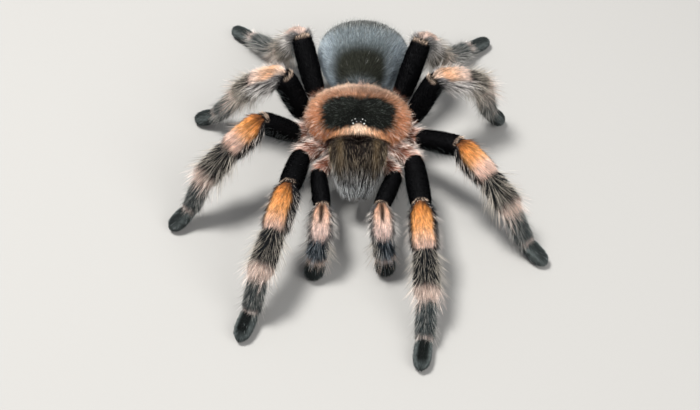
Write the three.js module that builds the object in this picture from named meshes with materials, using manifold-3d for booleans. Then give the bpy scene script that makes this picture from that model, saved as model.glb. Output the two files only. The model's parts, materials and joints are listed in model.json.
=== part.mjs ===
// A red-kneed tarantula, adult female, standing on all its feet. Life size, in millimetres.
// +Z is up, the spider faces -Y and its left side is +X. The floor is z = 0.
// Every solid reaches out to the tips of its dense coat of hair.
import * as THREE from 'three';
import Module from 'manifold-3d';
import { mergeVertices } from 'three/addons/utils/BufferGeometryUtils.js';

// ---- driving dimensions --------------------------------------------------------------
const GAP = 0.3;              // clearance between two pieces that meet
const SIDES = 12;             // facets round a limb
const HIP_HEIGHT = 12;        // middle of the leg bases above the floor
const NOSE_UP = 7;            // degrees that the front of the body is raised
const SOLE_PRESS = 0.4;       // depth that each sole is flattened by the floor

const CARAPACE_FRONT = -9.3;
const CARAPACE_REAR = 11.0;
const CARAPACE_HALF_WIDTH = 11.3;
const CARAPACE_CREST = 7.2;
const CARAPACE_UNDERSIDE = 2.45;
const CARAPACE_RIM = 3.2;
const CARAPACE_BROW = 2.6;    // rise of its arched front edge over the chelicerae
const CARAPACE_ARCH = 0.75;   // share of that rise lost at the sides

const ABDOMEN_LENGTH = 25;
const ABDOMEN_HALF_WIDTH = 11;
const ABDOMEN_HALF_HEIGHT = 8;
const ABDOMEN_DROOP = 6;      // degrees that the rear of the abdomen hangs below the body line
const ABDOMEN_SWING = 4;      // degrees that it is swung to the left

// One row for each kind of limb. `inner` and `outer` are the ends of the hip on the left
// side of the body, as x, y, z from the middle of the body; `lengths` run from the femur
// outwards; `girths` are half-widths of the hip, femur, patella, tibia, metatarsus, tarsus.
const LIMBS = {
  palp: {
    inner: [2.3, -5.3, -2.0],
    outer: [8.3, -13.3, -2.1],
    lengths: [10.5, 6.5, 6, 5],
    girths: [1.75, 1.85, 2.15, 2.25, 2.05],
  },
  leg1: {
    inner: [3.6, -3.7, 0],
    outer: [12.0, -10.7, 0],
    lengths: [14, 9, 10, 8.5, 7],
    girths: [2.2, 2.4, 2.7, 2.7, 2.2, 1.95],
  },
  leg2: {
    inner: [4.7, -0.9, 0],
    outer: [13.2, -3.4, 0],
    lengths: [12.5, 8, 9, 8.5, 6.5],
    girths: [2.2, 2.35, 2.6, 2.6, 2.15, 1.9],
  },
  leg3: {
    inner: [4.7, 2.2, 0],
    outer: [12.3, 4.3, -0.4],
    lengths: [11, 7.5, 7.5, 9, 6.5],
    girths: [2.1, 2.3, 2.5, 2.5, 2.1, 1.85],
  },
  leg4: {
    inner: [3.5, 5.1, 0],
    outer: [9.6, 10.6, 0],
    lengths: [13.5, 8.5, 10, 11.5, 7.5],
    girths: [2.1, 2.25, 2.5, 2.5, 2.1, 1.85],
  },
};

// The stance, in degrees, piece by piece from the femur outwards. `heading` is measured from
// straight ahead, outwards; `pitch` is how steeply a piece rises. REACH marks the piece that
// slopes down by as much as brings the sole to the floor.
const REACH = null;
const STANCE = {
  palp: {
    left: { heading: [-18, 4, 40, 20], pitch: [6, -16, REACH, -78] },
    right: { heading: [-7, 2, 24, 20], pitch: [4, -15, REACH, -66] },
  },
  leg1: {
    left: { heading: [5, 5, 4, -2, -8], pitch: [6, -18, -26, REACH, -5] },
    right: { heading: [8, 17, 17, 27, 18], pitch: [20, -23, -22, REACH, -15] },
  },
  leg2: {
    left: { heading: [48, 48, 48, 48, 48], pitch: [28, -21, -34, REACH, -23] },
    right: { heading: [55, 55, 55, 55, 55], pitch: [45, -27, -38, REACH, -35] },
  },
  leg3: {
    left: { heading: [115, 115, 115, 115, 110], pitch: [65, -16, -40, REACH, -50] },
    right: { heading: [108, 108, 108, 100, 100], pitch: [66, -30, -52, REACH, -30] },
  },
  leg4: {
    left: { heading: [154, 158, 140, 136, 132], pitch: [45, -42, -58, REACH, -10] },
    right: { heading: [158, 162, 142, 136, 132], pitch: [43, -42, -58, REACH, -10] },
  },
};

// ---- materials -----------------------------------------------------------------------
const FINISH = {
  velvet: { color: 0x17171a, roughness: 0.9 },
  flame: { color: 0xd9894a, roughness: 0.85 },
  greyHair: { color: 0x4b4f57, roughness: 0.85 },
  paleSkin: { color: 0xb89c90, roughness: 0.8 },
  rustRim: { color: 0xa9694a, roughness: 0.85 },
  slateHair: { color: 0x4d5a60, roughness: 0.85 },
  brownHair: { color: 0x3b332d, roughness: 0.85 },
  horn: { color: 0x120d0c, roughness: 0.25 },
  eyeGlass: { color: 0x14110f, roughness: 0.1 },
};

function finish(name) {
  return new THREE.MeshStandardMaterial({ ...FINISH[name], metalness: 0 });
}

// ---- shaping -------------------------------------------------------------------------
const UP = new THREE.Vector3(0, 0, 1);
const radians = THREE.MathUtils.degToRad;

// A closed solid over a run of loops with equal numbers of points, capped at both ends.
function skin(loops) {
  const count = loops[0].length;
  const points = loops.flat();
  const faces = [];
  for (let k = 0; k + 1 < loops.length; k += 1) {
    for (let j = 0; j < count; j += 1) {
      const a = k * count + j;
      const b = k * count + ((j + 1) % count);
      faces.push(a, b, b + count, a, b + count, a + count);
    }
  }
  for (const [start, forward] of [[0, false], [(loops.length - 1) * count, true]]) {
    const hub = points.length;
    const middle = new THREE.Vector3();
    for (let j = 0; j < count; j += 1) {
      middle.addScaledVector(points[start + j], 1 / count);
    }
    points.push(middle);
    for (let j = 0; j < count; j += 1) {
      const a = start + j;
      const b = start + ((j + 1) % count);
      faces.push(...(forward ? [a, b, hub] : [b, a, hub]));
    }
  }
  const geometry = new THREE.BufferGeometry().setFromPoints(points);
  geometry.setIndex(faces);
  if (volume(geometry) < 0) {
    for (let i = 0; i < faces.length; i += 3) {
      [faces[i], faces[i + 1]] = [faces[i + 1], faces[i]];
    }
    geometry.setIndex(faces);
  }
  return geometry;
}

function volume(geometry) {
  const corner = [0, 1, 2].map(() => new THREE.Vector3());
  const index = geometry.index.array;
  let total = 0;
  for (let i = 0; i < index.length; i += 3) {
    corner.forEach((c, k) => c.fromBufferAttribute(geometry.attributes.position, index[i + k]));
    total += corner[0].dot(corner[1].clone().cross(corner[2])) / 6;
  }
  return total;
}

// An oval loop round `at`, square to the direction `along`.
function oval(at, along, halfWidth, halfHeight, sides = SIDES) {
  const side = new THREE.Vector3().crossVectors(UP, along).normalize();
  const top = new THREE.Vector3().crossVectors(along, side).normalize();
  const loop = [];
  for (let j = 0; j < sides; j += 1) {
    const angle = (2 * Math.PI * j) / sides;
    loop.push(at.clone()
      .addScaledVector(side, halfWidth * Math.cos(angle))
      .addScaledVector(top, halfHeight * Math.sin(angle)));
  }
  return loop;
}

// Slides the points of a loop along `axis` until they lie on the plane through `at`.
function mitre(loop, at, axis, normal) {
  return loop.map((point) => {
    const offset = point.clone().sub(at).dot(normal) / axis.dot(normal);
    return point.clone().addScaledVector(axis, -offset);
  });
}

// One length of a limb from the origin along +X. Each station is a fraction of the length,
// a half-width and a half-height. The ends are cut along the planes given by their normals.
function limbPiece(length, stations, startNormal, endNormal) {
  const axis = new THREE.Vector3(1, 0, 0);
  const startAt = GAP / 2 / startNormal.x;
  const endAt = length - GAP / 2 / endNormal.x;
  const loops = stations.map(([fraction, halfWidth, halfHeight]) => {
    const at = new THREE.Vector3(THREE.MathUtils.lerp(startAt, endAt, fraction), 0, 0);
    const square = oval(at, axis, halfWidth, halfHeight);
    const normal = fraction < 0.5 ? startNormal : endNormal;
    const bent = mitre(square, at, axis, normal);
    const share = Math.abs(1 - 2 * fraction);
    return square.map((point, j) => point.lerp(bent[j], share));
  });
  return skin(loops);
}

// Presses whatever is below the plane z = level flat onto it.
function press(geometry, level) {
  const position = geometry.attributes.position;
  for (let i = 0; i < position.count; i += 1) {
    position.setZ(i, Math.max(position.getZ(i), level));
  }
  return geometry;
}

// ---- manifold-3d, used to seat the eyes in the carapace -------------------------------
const wasm = await Module();
wasm.setup();

function toSolid(geometry) {
  const bare = geometry.clone();
  bare.deleteAttribute('normal');
  bare.deleteAttribute('uv');
  const merged = mergeVertices(bare);
  return new wasm.Manifold(new wasm.Mesh({
    numProp: 3,
    vertProperties: new Float32Array(merged.attributes.position.array),
    triVerts: new Uint32Array(merged.index.array),
  }));
}

function toGeometry(solid) {
  const mesh = solid.getMesh();
  const geometry = new THREE.BufferGeometry();
  geometry.setAttribute('position', new THREE.BufferAttribute(mesh.vertProperties, 3));
  geometry.setIndex(new THREE.BufferAttribute(mesh.triVerts, 1));
  return geometry;
}

function piece(name, geometry, finishName, parent) {
  const mesh = new THREE.Mesh(geometry, finish(finishName));
  mesh.name = name;
  parent.add(mesh);
  return mesh;
}

// ---- the front body ------------------------------------------------------------------
const tarantula = new THREE.Group();
const body = new THREE.Group();
body.position.z = HIP_HEIGHT;
body.rotation.x = -radians(NOSE_UP);
tarantula.add(body);

// The carapace is a low shield: blunt in front, broadest in the middle, sloping to the rear.
// Stations: share of the length, and shares of the half-width, the crest and the brow.
function carapaceShield() {
  const stations = [
    [0, 0.55, 0.92, 1],
    [0.06, 0.70, 1.0, 0.75],
    [0.17, 0.86, 1.02, 0.35],
    [0.33, 0.97, 1.0, 0],
    [0.5, 1.0, 0.92, 0],
    [0.66, 0.97, 0.83, 0],
    [0.81, 0.84, 0.74, 0],
    [0.93, 0.62, 0.63, 0],
    [1, 0.36, 0.54, 0],
  ];
  const across = 8;
  const loops = stations.map(([fraction, width, crest, brow]) => {
    const y = THREE.MathUtils.lerp(CARAPACE_FRONT, CARAPACE_REAR, fraction);
    const half = width * CARAPACE_HALF_WIDTH;
    const lift = (share) => brow * CARAPACE_BROW * (1 - CARAPACE_ARCH * share ** 2);
    const rise = crest * CARAPACE_CREST - CARAPACE_RIM - lift(0);
    const loop = [];
    for (let j = 0; j <= across; j += 1) {
      const angle = (Math.PI * j) / across;
      const share = Math.cos(angle);
      const z = CARAPACE_RIM + lift(share) + rise * Math.sin(angle) ** 0.85;
      loop.push(new THREE.Vector3(half * share, y, z));
    }
    for (const share of [-0.9, -0.3, 0.3, 0.9]) {
      loop.push(new THREE.Vector3(half * share, y, CARAPACE_UNDERSIDE + lift(share)));
    }
    return loop;
  });
  return skin(loops);
}

// Eight eyes sit close together on one low mound near the front edge of the carapace.
const EYE_MOUND = { at: [0, -6.6, 6.9], half: [1.75, 1.15, 1.1] };

function eyeMound(extra) {
  const mound = new THREE.SphereGeometry(1, 12, 8);
  mound.scale(...EYE_MOUND.half.map((half) => half + extra));
  mound.translate(...EYE_MOUND.at);
  return mound;
}

const shield = toSolid(carapaceShield()).subtract(toSolid(eyeMound(GAP)));
piece('carapace', toGeometry(shield), 'rustRim', body);
piece('eye_mound', eyeMound(0), 'eyeGlass', body);

// The sternum and the middle of the front body fill the space between the hips.
function sternumBlock() {
  const profile = [[0, -2.4], [2.7, -2.2], [3.8, -1.2], [3.8, 1.2], [3.2, 1.8], [0, 1.8]];
  const block = new THREE.LatheGeometry(profile.map(([r, z]) => new THREE.Vector2(r, z)), 16);
  block.rotateX(Math.PI / 2);
  block.scale(1, 1.26, 1);
  block.translate(0, 0.7, 0);
  return block;
}

piece('sternum', sternumBlock(), 'velvet', body);

// Each chelicera bulges forward from under the carapace and then turns down. Its curve is
// given by y and z, and its stations by a share of the curve, a half-width and a half-depth.
const CHELICERA_CURVE = [[-8.8, 1.2], [-14.6, 9.2], [-15.6, -6.6]];
const CHELICERA_STATIONS = [
  [0, 2.3, 1.1],
  [0.1, 2.5, 1.2],
  [0.2, 2.75, 1.65],
  [0.34, 2.95, 2.45],
  [0.52, 2.9, 2.75],
  [0.7, 2.55, 2.5],
  [0.86, 2.15, 2.1],
  [0.96, 1.6, 1.5],
  [1, 0.9, 0.8],
];

function cheliceraLobe(sign) {
  const points = CHELICERA_CURVE.map(([y, z]) => new THREE.Vector3(0, y, z));
  const curve = new THREE.QuadraticBezierCurve3(...points);
  const across = new THREE.Vector3(1, 0, 0);
  const loops = CHELICERA_STATIONS.map(([share, halfWidth, halfDepth]) => {
    const at = curve.getPoint(share);
    at.x = sign * (GAP / 2 + halfWidth);
    const along = curve.getTangent(share);
    const back = new THREE.Vector3().crossVectors(along, across);
    const loop = [];
    for (let j = 0; j < SIDES; j += 1) {
      const angle = (2 * Math.PI * j) / SIDES;
      loop.push(at.clone()
        .addScaledVector(across, halfWidth * Math.cos(angle))
        .addScaledVector(back, halfDepth * Math.sin(angle)));
    }
    return loop;
  });
  return skin(loops);
}

// The fang folds back under the tip of its chelicera.
const FANG = { root: [1.9, -15.0, -7.5], bend: [1.9, -13.3, -8.4], tip: [1.5, -11.0, -7.4] };

function fangTooth(sign) {
  const place = ([x, y, z]) => new THREE.Vector3(sign * x, y, z);
  const curve = new THREE.QuadraticBezierCurve3(
    place(FANG.root),
    place(FANG.bend),
    place(FANG.tip),
  );
  const loops = [[0, 0.55], [0.35, 0.5], [0.7, 0.38], [1, 0.25]].map(([share, radius]) => (
    oval(curve.getPoint(share), curve.getTangent(share), radius, radius, 8)
  ));
  return skin(loops);
}

for (const [side, sign] of [['left', 1], ['right', -1]]) {
  piece(`chelicera_${side}`, cheliceraLobe(sign), 'brownHair', body);
  piece(`fang_${side}`, fangTooth(sign), 'horn', body);
}

// ---- the abdomen ---------------------------------------------------------------------
// A narrow stalk under the rear of the carapace carries the abdomen, an egg with its broad
// end to the rear. Stations: share of the length, and shares of half-width and half-height.
const ABDOMEN_START = 11.4;
const ABDOMEN_CENTRE = 2.4;
const STALK = { start: 6.2, halfWidth: 1.2, z: -0.4 };
const ABDOMEN_STATIONS = [
  [0, 0.34, 0.42],
  [0.06, 0.52, 0.64],
  [0.17, 0.72, 0.84],
  [0.33, 0.89, 0.97],
  [0.52, 1, 1],
  [0.7, 0.98, 0.93],
  [0.85, 0.80, 0.73],
  [0.95, 0.50, 0.46],
  [1, 0.22, 0.2],
];

function abdomenEgg() {
  const back = new THREE.Vector3(0, 1, 0);
  const sides = 18;
  const loops = [STALK.start, ABDOMEN_START - 0.1].map((y) => (
    oval(new THREE.Vector3(0, y, STALK.z), back, STALK.halfWidth, STALK.halfWidth, sides)
  ));
  const droop = Math.tan(radians(ABDOMEN_DROOP));
  const swing = Math.tan(radians(ABDOMEN_SWING));
  for (const [share, width, height] of ABDOMEN_STATIONS) {
    const y = ABDOMEN_START + share * ABDOMEN_LENGTH;
    const x = swing * share * ABDOMEN_LENGTH;
    const z = ABDOMEN_CENTRE - droop * share * ABDOMEN_LENGTH;
    const halfWidth = width * ABDOMEN_HALF_WIDTH;
    const halfHeight = height * ABDOMEN_HALF_HEIGHT;
    loops.push(oval(new THREE.Vector3(x, y, z), back, halfWidth, halfHeight, sides));
  }
  return skin(loops);
}

piece('abdomen', abdomenEgg(), 'slateHair', body);

// Two finger-like spinnerets point back from under the end of the abdomen.
const SPINNERET = { length: 5, halfWidth: 0.8, at: [1.3, 34.4, -5.2], spread: 14, dip: 12 };

for (const [side, sign] of [['left', 1], ['right', -1]]) {
  const blunt = new THREE.Vector3(1, 0, 0);
  const stations = [[0, 0.8], [0.4, 1], [0.8, 0.8], [1, 0.4]].map(([share, girth]) => (
    [share, girth * SPINNERET.halfWidth, girth * SPINNERET.halfWidth]
  ));
  const geometry = limbPiece(SPINNERET.length, stations, blunt, blunt);
  const mesh = piece(`spinneret_${side}`, geometry, 'slateHair', body);
  mesh.position.set(sign * SPINNERET.at[0], SPINNERET.at[1], SPINNERET.at[2]);
  mesh.rotation.order = 'ZYX';
  mesh.rotation.z = radians(90 - sign * SPINNERET.spread);
  mesh.rotation.y = radians(SPINNERET.dip);
}

// ---- legs and palps ------------------------------------------------------------------
// Half-widths along each kind of piece, as shares of its girth.
const PROFILES = {
  hip: [[0, 0.5, 0.8], [0.4, 0.8, 0.95], [0.75, 1, 1], [1, 0.95, 0.95]],
  femur: [[0, 0.88, 0.88], [0.22, 0.98, 1.04], [0.5, 1, 1.06], [0.8, 0.98, 1], [1, 0.95, 0.95]],
  patella: [[0, 0.9, 0.9], [0.3, 1, 1], [0.72, 1.02, 1.02], [1, 0.94, 0.94]],
  tibia: [[0, 0.92, 0.92], [0.25, 1, 1], [0.5, 1.03, 1.03], [0.78, 1, 1], [1, 0.9, 0.9]],
};
const FOOT_TIP = [[0.88, 0.97], [1, 0.76], [1.06, 0.42]];

function girthed(profile, girth) {
  return profile.map(([share, width, height]) => [share, width * girth, height * girth]);
}

function halfway(a, b) {
  return a.clone().add(b).normalize();
}

function local(direction, quaternion) {
  return direction.clone().applyQuaternion(quaternion.clone().invert());
}

// How far the blunt tip of a foot reaches below its own middle, for a given pitch.
function tipDepth(length, girth, pitch) {
  const depths = FOOT_TIP.map(([share, width]) => (
    width * girth * Math.cos(pitch) - (share - 1) * length * Math.sin(pitch)
  ));
  return Math.max(...depths);
}

// The joints of one limb, starting from the outer end of its hip, which is `hipHeight`
// above the floor. The directions of its pieces follow from the headings and the pitches.
function joints({ lengths, girths }, stance, sign, hipHeight) {
  const pitches = stance.pitch.map((pitch) => radians(pitch ?? 0));
  const reach = stance.pitch.indexOf(REACH);
  const rise = pitches.reduce((sum, pitch, i) => sum + lengths[i] * Math.sin(pitch), 0);
  const sole = tipDepth(lengths.at(-1), girths.at(-1), pitches.at(-1)) - SOLE_PRESS;
  pitches[reach] = Math.asin((sole - hipHeight - rise) / lengths[reach]);
  const turns = stance.heading.map((heading) => radians(sign * heading - 90));
  const euler = pitches.map((pitch, i) => new THREE.Euler(0, -pitch, turns[i], 'ZYX'));
  const directions = euler.map((turn) => new THREE.Vector3(1, 0, 0).applyEuler(turn));
  const points = [new THREE.Vector3()];
  directions.forEach((direction, i) => {
    points.push(points[i].clone().addScaledVector(direction, lengths[i]));
  });
  return { euler, points, directions };
}

// The hip runs outwards from the sternum, and its outer end is cut to meet the femur. The
// direction of the hip is handed back.
function addHip(name, limb, girth, sign, femurDirection) {
  const inner = new THREE.Vector3(sign * limb.inner[0], limb.inner[1], limb.inner[2]);
  const outer = new THREE.Vector3(sign * limb.outer[0], limb.outer[1], limb.outer[2]);
  const run = outer.sub(inner);
  const length = run.length();
  const turn = new THREE.Euler(0, -Math.asin(run.z / length), Math.atan2(run.y, run.x), 'ZYX');
  const inBody = new THREE.Quaternion().setFromEuler(turn);
  const inWorld = new THREE.Quaternion().setFromEuler(body.rotation).multiply(inBody);
  const axis = new THREE.Vector3(1, 0, 0);
  const cut = halfway(axis, local(femurDirection, inWorld));
  const geometry = limbPiece(length, girthed(PROFILES.hip, girth), axis, cut);
  const mesh = piece(`${name}_hip`, geometry, 'paleSkin', body);
  mesh.position.copy(inner);
  mesh.quaternion.copy(inBody);
  return axis.clone().applyQuaternion(inWorld);
}

// The foot is one solid: the metatarsus, a bend, and the tarsus with its blunt tip. The
// palp has no metatarsus, so its last solid is a tarsus alone.
function footGeometry(chain, girths, level) {
  const count = chain.directions.length;
  const first = girths.length === LIMBS.palp.girths.length ? count - 1 : count - 2;
  const before = chain.directions[first - 1];
  const origin = chain.points[first];
  const loops = [];
  for (let i = first; i < count; i += 1) {
    const along = chain.directions[i];
    const start = chain.points[i].clone().sub(origin);
    const length = chain.points[i + 1].distanceTo(chain.points[i]);
    const girth = girths[i + 1];
    const at = (share) => start.clone().addScaledVector(along, share * length);
    if (i === first) {
      const cut = halfway(before, along);
      const end = at(GAP / 2 / along.dot(cut) / length);
      loops.push(mitre(oval(end, along, 0.9 * girth, 0.9 * girth), end, along, cut));
      loops.push(oval(at(0.3), along, girth, girth));
    } else {
      loops.push(oval(start, halfway(chain.directions[i - 1], along), 0.95 * girth, girth));
      loops.push(oval(at(0.4), along, girth, girth));
    }
    if (i === count - 1) {
      for (const [share, width] of FOOT_TIP) {
        loops.push(oval(at(share), along, width * girth, width * girth));
      }
    } else {
      loops.push(oval(at(0.75), along, 0.98 * girth, 0.98 * girth));
    }
  }
  return press(skin(loops), level);
}

const FINISHES = { femur: 'velvet', patella: 'flame', tibia: 'greyHair' };

function addLimb(kind, side) {
  const sign = side === 'left' ? 1 : -1;
  const name = `${kind}_${side}`;
  const limb = LIMBS[kind];
  const [hipGirth, ...girths] = limb.girths;
  const outer = new THREE.Vector3(sign * limb.outer[0], limb.outer[1], limb.outer[2]);
  outer.applyEuler(body.rotation).add(body.position);
  const chain = joints(limb, STANCE[kind][side], sign, outer.z);
  const hipAxis = addHip(name, limb, hipGirth, sign, chain.directions[0]);
  const leg = new THREE.Group();
  leg.position.copy(outer);
  tarantula.add(leg);

  const directions = [hipAxis, ...chain.directions];
  ['femur', 'patella', 'tibia'].forEach((part, i) => {
    const own = new THREE.Quaternion().setFromEuler(chain.euler[i]);
    const startCut = local(halfway(directions[i], directions[i + 1]), own);
    const endCut = local(halfway(directions[i + 1], directions[i + 2]), own);
    const stations = girthed(PROFILES[part], girths[i]);
    const geometry = limbPiece(limb.lengths[i], stations, startCut, endCut);
    const mesh = piece(`${name}_${part}`, geometry, FINISHES[part], leg);
    mesh.position.copy(chain.points[i]);
    mesh.rotation.copy(chain.euler[i]);
  });
  const ankle = chain.points[3];
  const level = -(outer.z + ankle.z);
  const foot = piece(`${name}_foot`, footGeometry(chain, limb.girths, level), 'slateHair', leg);
  foot.position.copy(ankle);
}

for (const kind of Object.keys(LIMBS)) {
  for (const side of ['left', 'right']) {
    addLimb(kind, side);
  }
}

// The origin is the middle of the footprint, on the floor.
tarantula.updateMatrixWorld(true);
const bounds = new THREE.Box3().setFromObject(tarantula, true);
tarantula.position.x = -(bounds.min.x + bounds.max.x) / 2;
tarantula.position.y = -(bounds.min.y + bounds.max.y) / 2;

export default tarantula;
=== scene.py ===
# %% [markdown]
# # A red-kneed tarantula, dressed over its solids
# The frame holds the solids of the spider: its limbs, shield, abdomen and jaws, each out to
# the tips of its hair. Here one closed skin takes their place, a little inside them, and a coat
# of solid hairs grows from it. Lengths are written in millimetres and turned to metres last.

# %% Load the frame
import json
import math

import bpy
import numpy as np
from mathutils import Matrix, Vector
from mathutils.kdtree import KDTree

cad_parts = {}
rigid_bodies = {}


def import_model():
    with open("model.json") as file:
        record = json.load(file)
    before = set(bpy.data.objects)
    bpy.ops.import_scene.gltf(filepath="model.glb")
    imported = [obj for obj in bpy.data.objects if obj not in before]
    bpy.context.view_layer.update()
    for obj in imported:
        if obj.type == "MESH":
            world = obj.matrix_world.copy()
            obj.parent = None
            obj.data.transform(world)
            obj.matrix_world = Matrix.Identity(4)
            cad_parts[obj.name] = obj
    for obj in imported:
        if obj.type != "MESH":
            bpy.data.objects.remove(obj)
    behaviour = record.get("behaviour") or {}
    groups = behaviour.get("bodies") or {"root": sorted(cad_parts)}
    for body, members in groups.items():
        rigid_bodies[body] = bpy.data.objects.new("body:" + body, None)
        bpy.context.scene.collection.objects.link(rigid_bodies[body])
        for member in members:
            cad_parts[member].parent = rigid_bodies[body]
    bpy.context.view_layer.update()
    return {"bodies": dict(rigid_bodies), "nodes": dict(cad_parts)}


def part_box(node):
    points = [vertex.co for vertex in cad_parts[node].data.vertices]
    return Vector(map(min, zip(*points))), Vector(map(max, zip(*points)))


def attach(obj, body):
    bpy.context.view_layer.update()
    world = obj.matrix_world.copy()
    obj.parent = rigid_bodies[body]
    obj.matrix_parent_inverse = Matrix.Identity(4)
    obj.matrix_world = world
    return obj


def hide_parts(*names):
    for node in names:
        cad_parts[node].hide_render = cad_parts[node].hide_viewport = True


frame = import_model()
MM = 0.001
BODY = next(iter(frame["bodies"]))

# %% [markdown]
# ## The camera
# A lens close to a spider swells the legs that reach towards it, so this camera stands a step
# back with a short telephoto lens. It looks down steeply enough to show the back and all the
# knees, and a small roll gives the stance its slight slant.

# %% Camera
TARGET = Vector((-1.84, -16.69, 12.0))
DISTANCE = 230.0
LENS = 57.1
SENSOR = 36.0
ELEVATION = math.radians(50.0)
AZIMUTH = math.radians(-1.0)
ROLL = math.radians(2.7)


def aim_camera():
    back = Vector((math.sin(AZIMUTH) * math.cos(ELEVATION),
                   -math.cos(AZIMUTH) * math.cos(ELEVATION), math.sin(ELEVATION)))
    right = (-back).cross(Vector((0, 0, 1))).normalized()
    up = right.cross(-back)
    across = right * math.cos(ROLL) + up * math.sin(ROLL)
    upward = up * math.cos(ROLL) - right * math.sin(ROLL)
    camera = bpy.data.objects.new("camera", bpy.data.cameras.new("camera"))
    camera.data.lens = LENS
    camera.data.sensor_width = SENSOR
    camera.data.clip_start = 0.01
    turn = Matrix((across, upward, back)).transposed().to_4x4()
    camera.matrix_world = Matrix.Translation((TARGET + back * DISTANCE) * MM) @ turn
    bpy.context.scene.collection.objects.link(camera)
    bpy.context.scene.camera = camera


aim_camera()
bpy.context.scene.view_settings.view_transform = "Standard"    # blacks stay black
print("camera", DISTANCE, "mm from its target, lens", LENS, "mm")

# %% [markdown]
# ## Reading the solids
# Each limb solid is a loft: a hub, a run of loops, and a hub. Walking outwards from one hub,
# neighbour by neighbour, gives the loops in order. Their middles give the joints of the legs
# and their radii the girths, so the skin follows the solids with nothing measured twice.

# %% Loops of a lofted solid


def loops_of(name):
    """The loops of points of a solid, in order from one hub to the other."""
    mesh = frame["nodes"][name].data
    corners = np.empty(len(mesh.vertices) * 3)
    mesh.vertices.foreach_get("co", corners)
    points, where = np.unique(np.round(corners.reshape(-1, 3) / MM, 3), axis=0,
                              return_inverse=True)
    index = np.empty(len(mesh.loops), int)
    mesh.loops.foreach_get("vertex_index", index)
    faces = where.ravel()[index].reshape(-1, 3)
    hub = int(np.bincount(faces.ravel()).argmax())
    level = np.full(len(points), -1)
    level[hub] = 0
    step = 0
    while (level < 0).any():
        touched = np.unique(faces[(level[faces] == step).any(axis=1)])
        step += 1
        level[touched[level[touched] < 0]] = step
    return [points[level == k] for k in range(step + 1)]


def ordered_from(place, loops):
    """The same loops, from the hub nearer the place."""
    first, last = (np.linalg.norm(loops[k][0] - place) for k in (0, -1))
    return loops if first < last else loops[::-1]


def radius_of(loop):
    return np.linalg.norm(loop - loop.mean(axis=0), axis=1).mean()


# %% [markdown]
# ## The body's own frame
# The front body sits nose up by a few degrees, 12 mm above the floor. Sizes on it are given
# from its middle, level, and then turned and lifted into place. The carapace's own sizes say
# where that middle is in the frame, and they shape its skin later on.

# %% From the body's frame to the floor's
HIP_HEIGHT = 12.0
NOSE_UP = math.radians(7.0)
CARAPACE_FRONT = -9.3
CARAPACE_REAR = 11.0
CARAPACE_HALF_WIDTH = 11.3
CARAPACE_CREST = 7.2
CARAPACE_UNDERSIDE = 2.45
CARAPACE_RIM = 3.2
CARAPACE_BROW = 2.6            # the front rim arches up by this over the jaws
CARAPACE_ARCH = 0.75           # and loses this share of it towards its corners
COS, SIN = math.cos(NOSE_UP), math.sin(NOSE_UP)


def turned(points):
    x, y, z = np.asarray(points, float).T
    return np.stack([x, y * COS + z * SIN, z * COS - y * SIN], axis=-1)


shield_box = [np.array(corner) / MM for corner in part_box("carapace")]
FRONT_CORNER = 0.9             # sine of the angle at which the front rim is lowest
front_edge = turned([0, CARAPACE_FRONT, CARAPACE_UNDERSIDE
                     + CARAPACE_BROW * (1 - CARAPACE_ARCH * FRONT_CORNER ** 2)])
ORIGIN = np.array([(shield_box[0][0] + shield_box[1][0]) / 2,
                   shield_box[0][1] - front_edge[1], HIP_HEIGHT])
print("middle of the body in mm", ORIGIN.round(2))


def from_body(points):
    return turned(points) + ORIGIN


def to_body(points):
    x, y, z = (np.asarray(points) - ORIGIN).T
    return np.stack([x, y * COS - z * SIN, z * COS + y * SIN], axis=-1)


# %% [markdown]
# ### Joints of the limbs
# The joints could be typed in again, but then the skin and the solids might part. They are read
# from the solids: where one ends and the next starts there is a joint, and the bend in the
# foot's solid is the joint between metatarsus and tarsus.

# %% Joints of every limb
COAT_PAST_TOE = 1.06           # a foot's solid is this much longer than the foot without hair
LIMBS = [f"{kind}_{side}" for kind in ("palp", "leg1", "leg2", "leg3", "leg4")
         for side in ("left", "right")]


def limb_joints(limb):
    place = ORIGIN
    joints, girths = [], []
    for part in ("hip", "femur", "patella", "tibia", "foot"):
        loops = ordered_from(place, loops_of(f"{limb}_{part}"))
        start = loops[0][0]
        joints.append(start if part == "hip" else (place + start) / 2)
        girths.append(max(radius_of(loop) for loop in loops[1:-1]))
        place = loops[-1][0]
    if limb.startswith("palp"):
        bend, beyond = joints[-1], loops[2]
    else:
        bend, beyond = loops[4].mean(axis=0), loops[5]
        joints.append(bend)
        girths[-1:] = [max(radius_of(loop) for loop in loops[1:4]),
                       max(radius_of(loop) for loop in loops[5:7])]
    along = beyond.mean(axis=0) - bend
    along /= np.linalg.norm(along)
    joints.append(bend + along * np.dot(place - bend, along) / COAT_PAST_TOE)
    return np.array(joints), np.array(girths)


chains = {limb: limb_joints(limb) for limb in LIMBS}
print("joints of leg1_left in mm", chains["leg1_left"][0].round(1).tolist())

# %% [markdown]
# ## One skin
# Each part is first lofted by itself: loops round a line, closed with rounded ends that reach
# into the next part. A voxel remesh then melts the overlapping forms into one closed surface,
# as a sculptor would, and a little smoothing lets the joints fold instead of crease. Every
# point of the lofts also remembers its part and its place on it, and the finished skin takes
# that from the nearest one: this is what the markings and the coat are painted by.

# %% A closed tube


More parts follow.
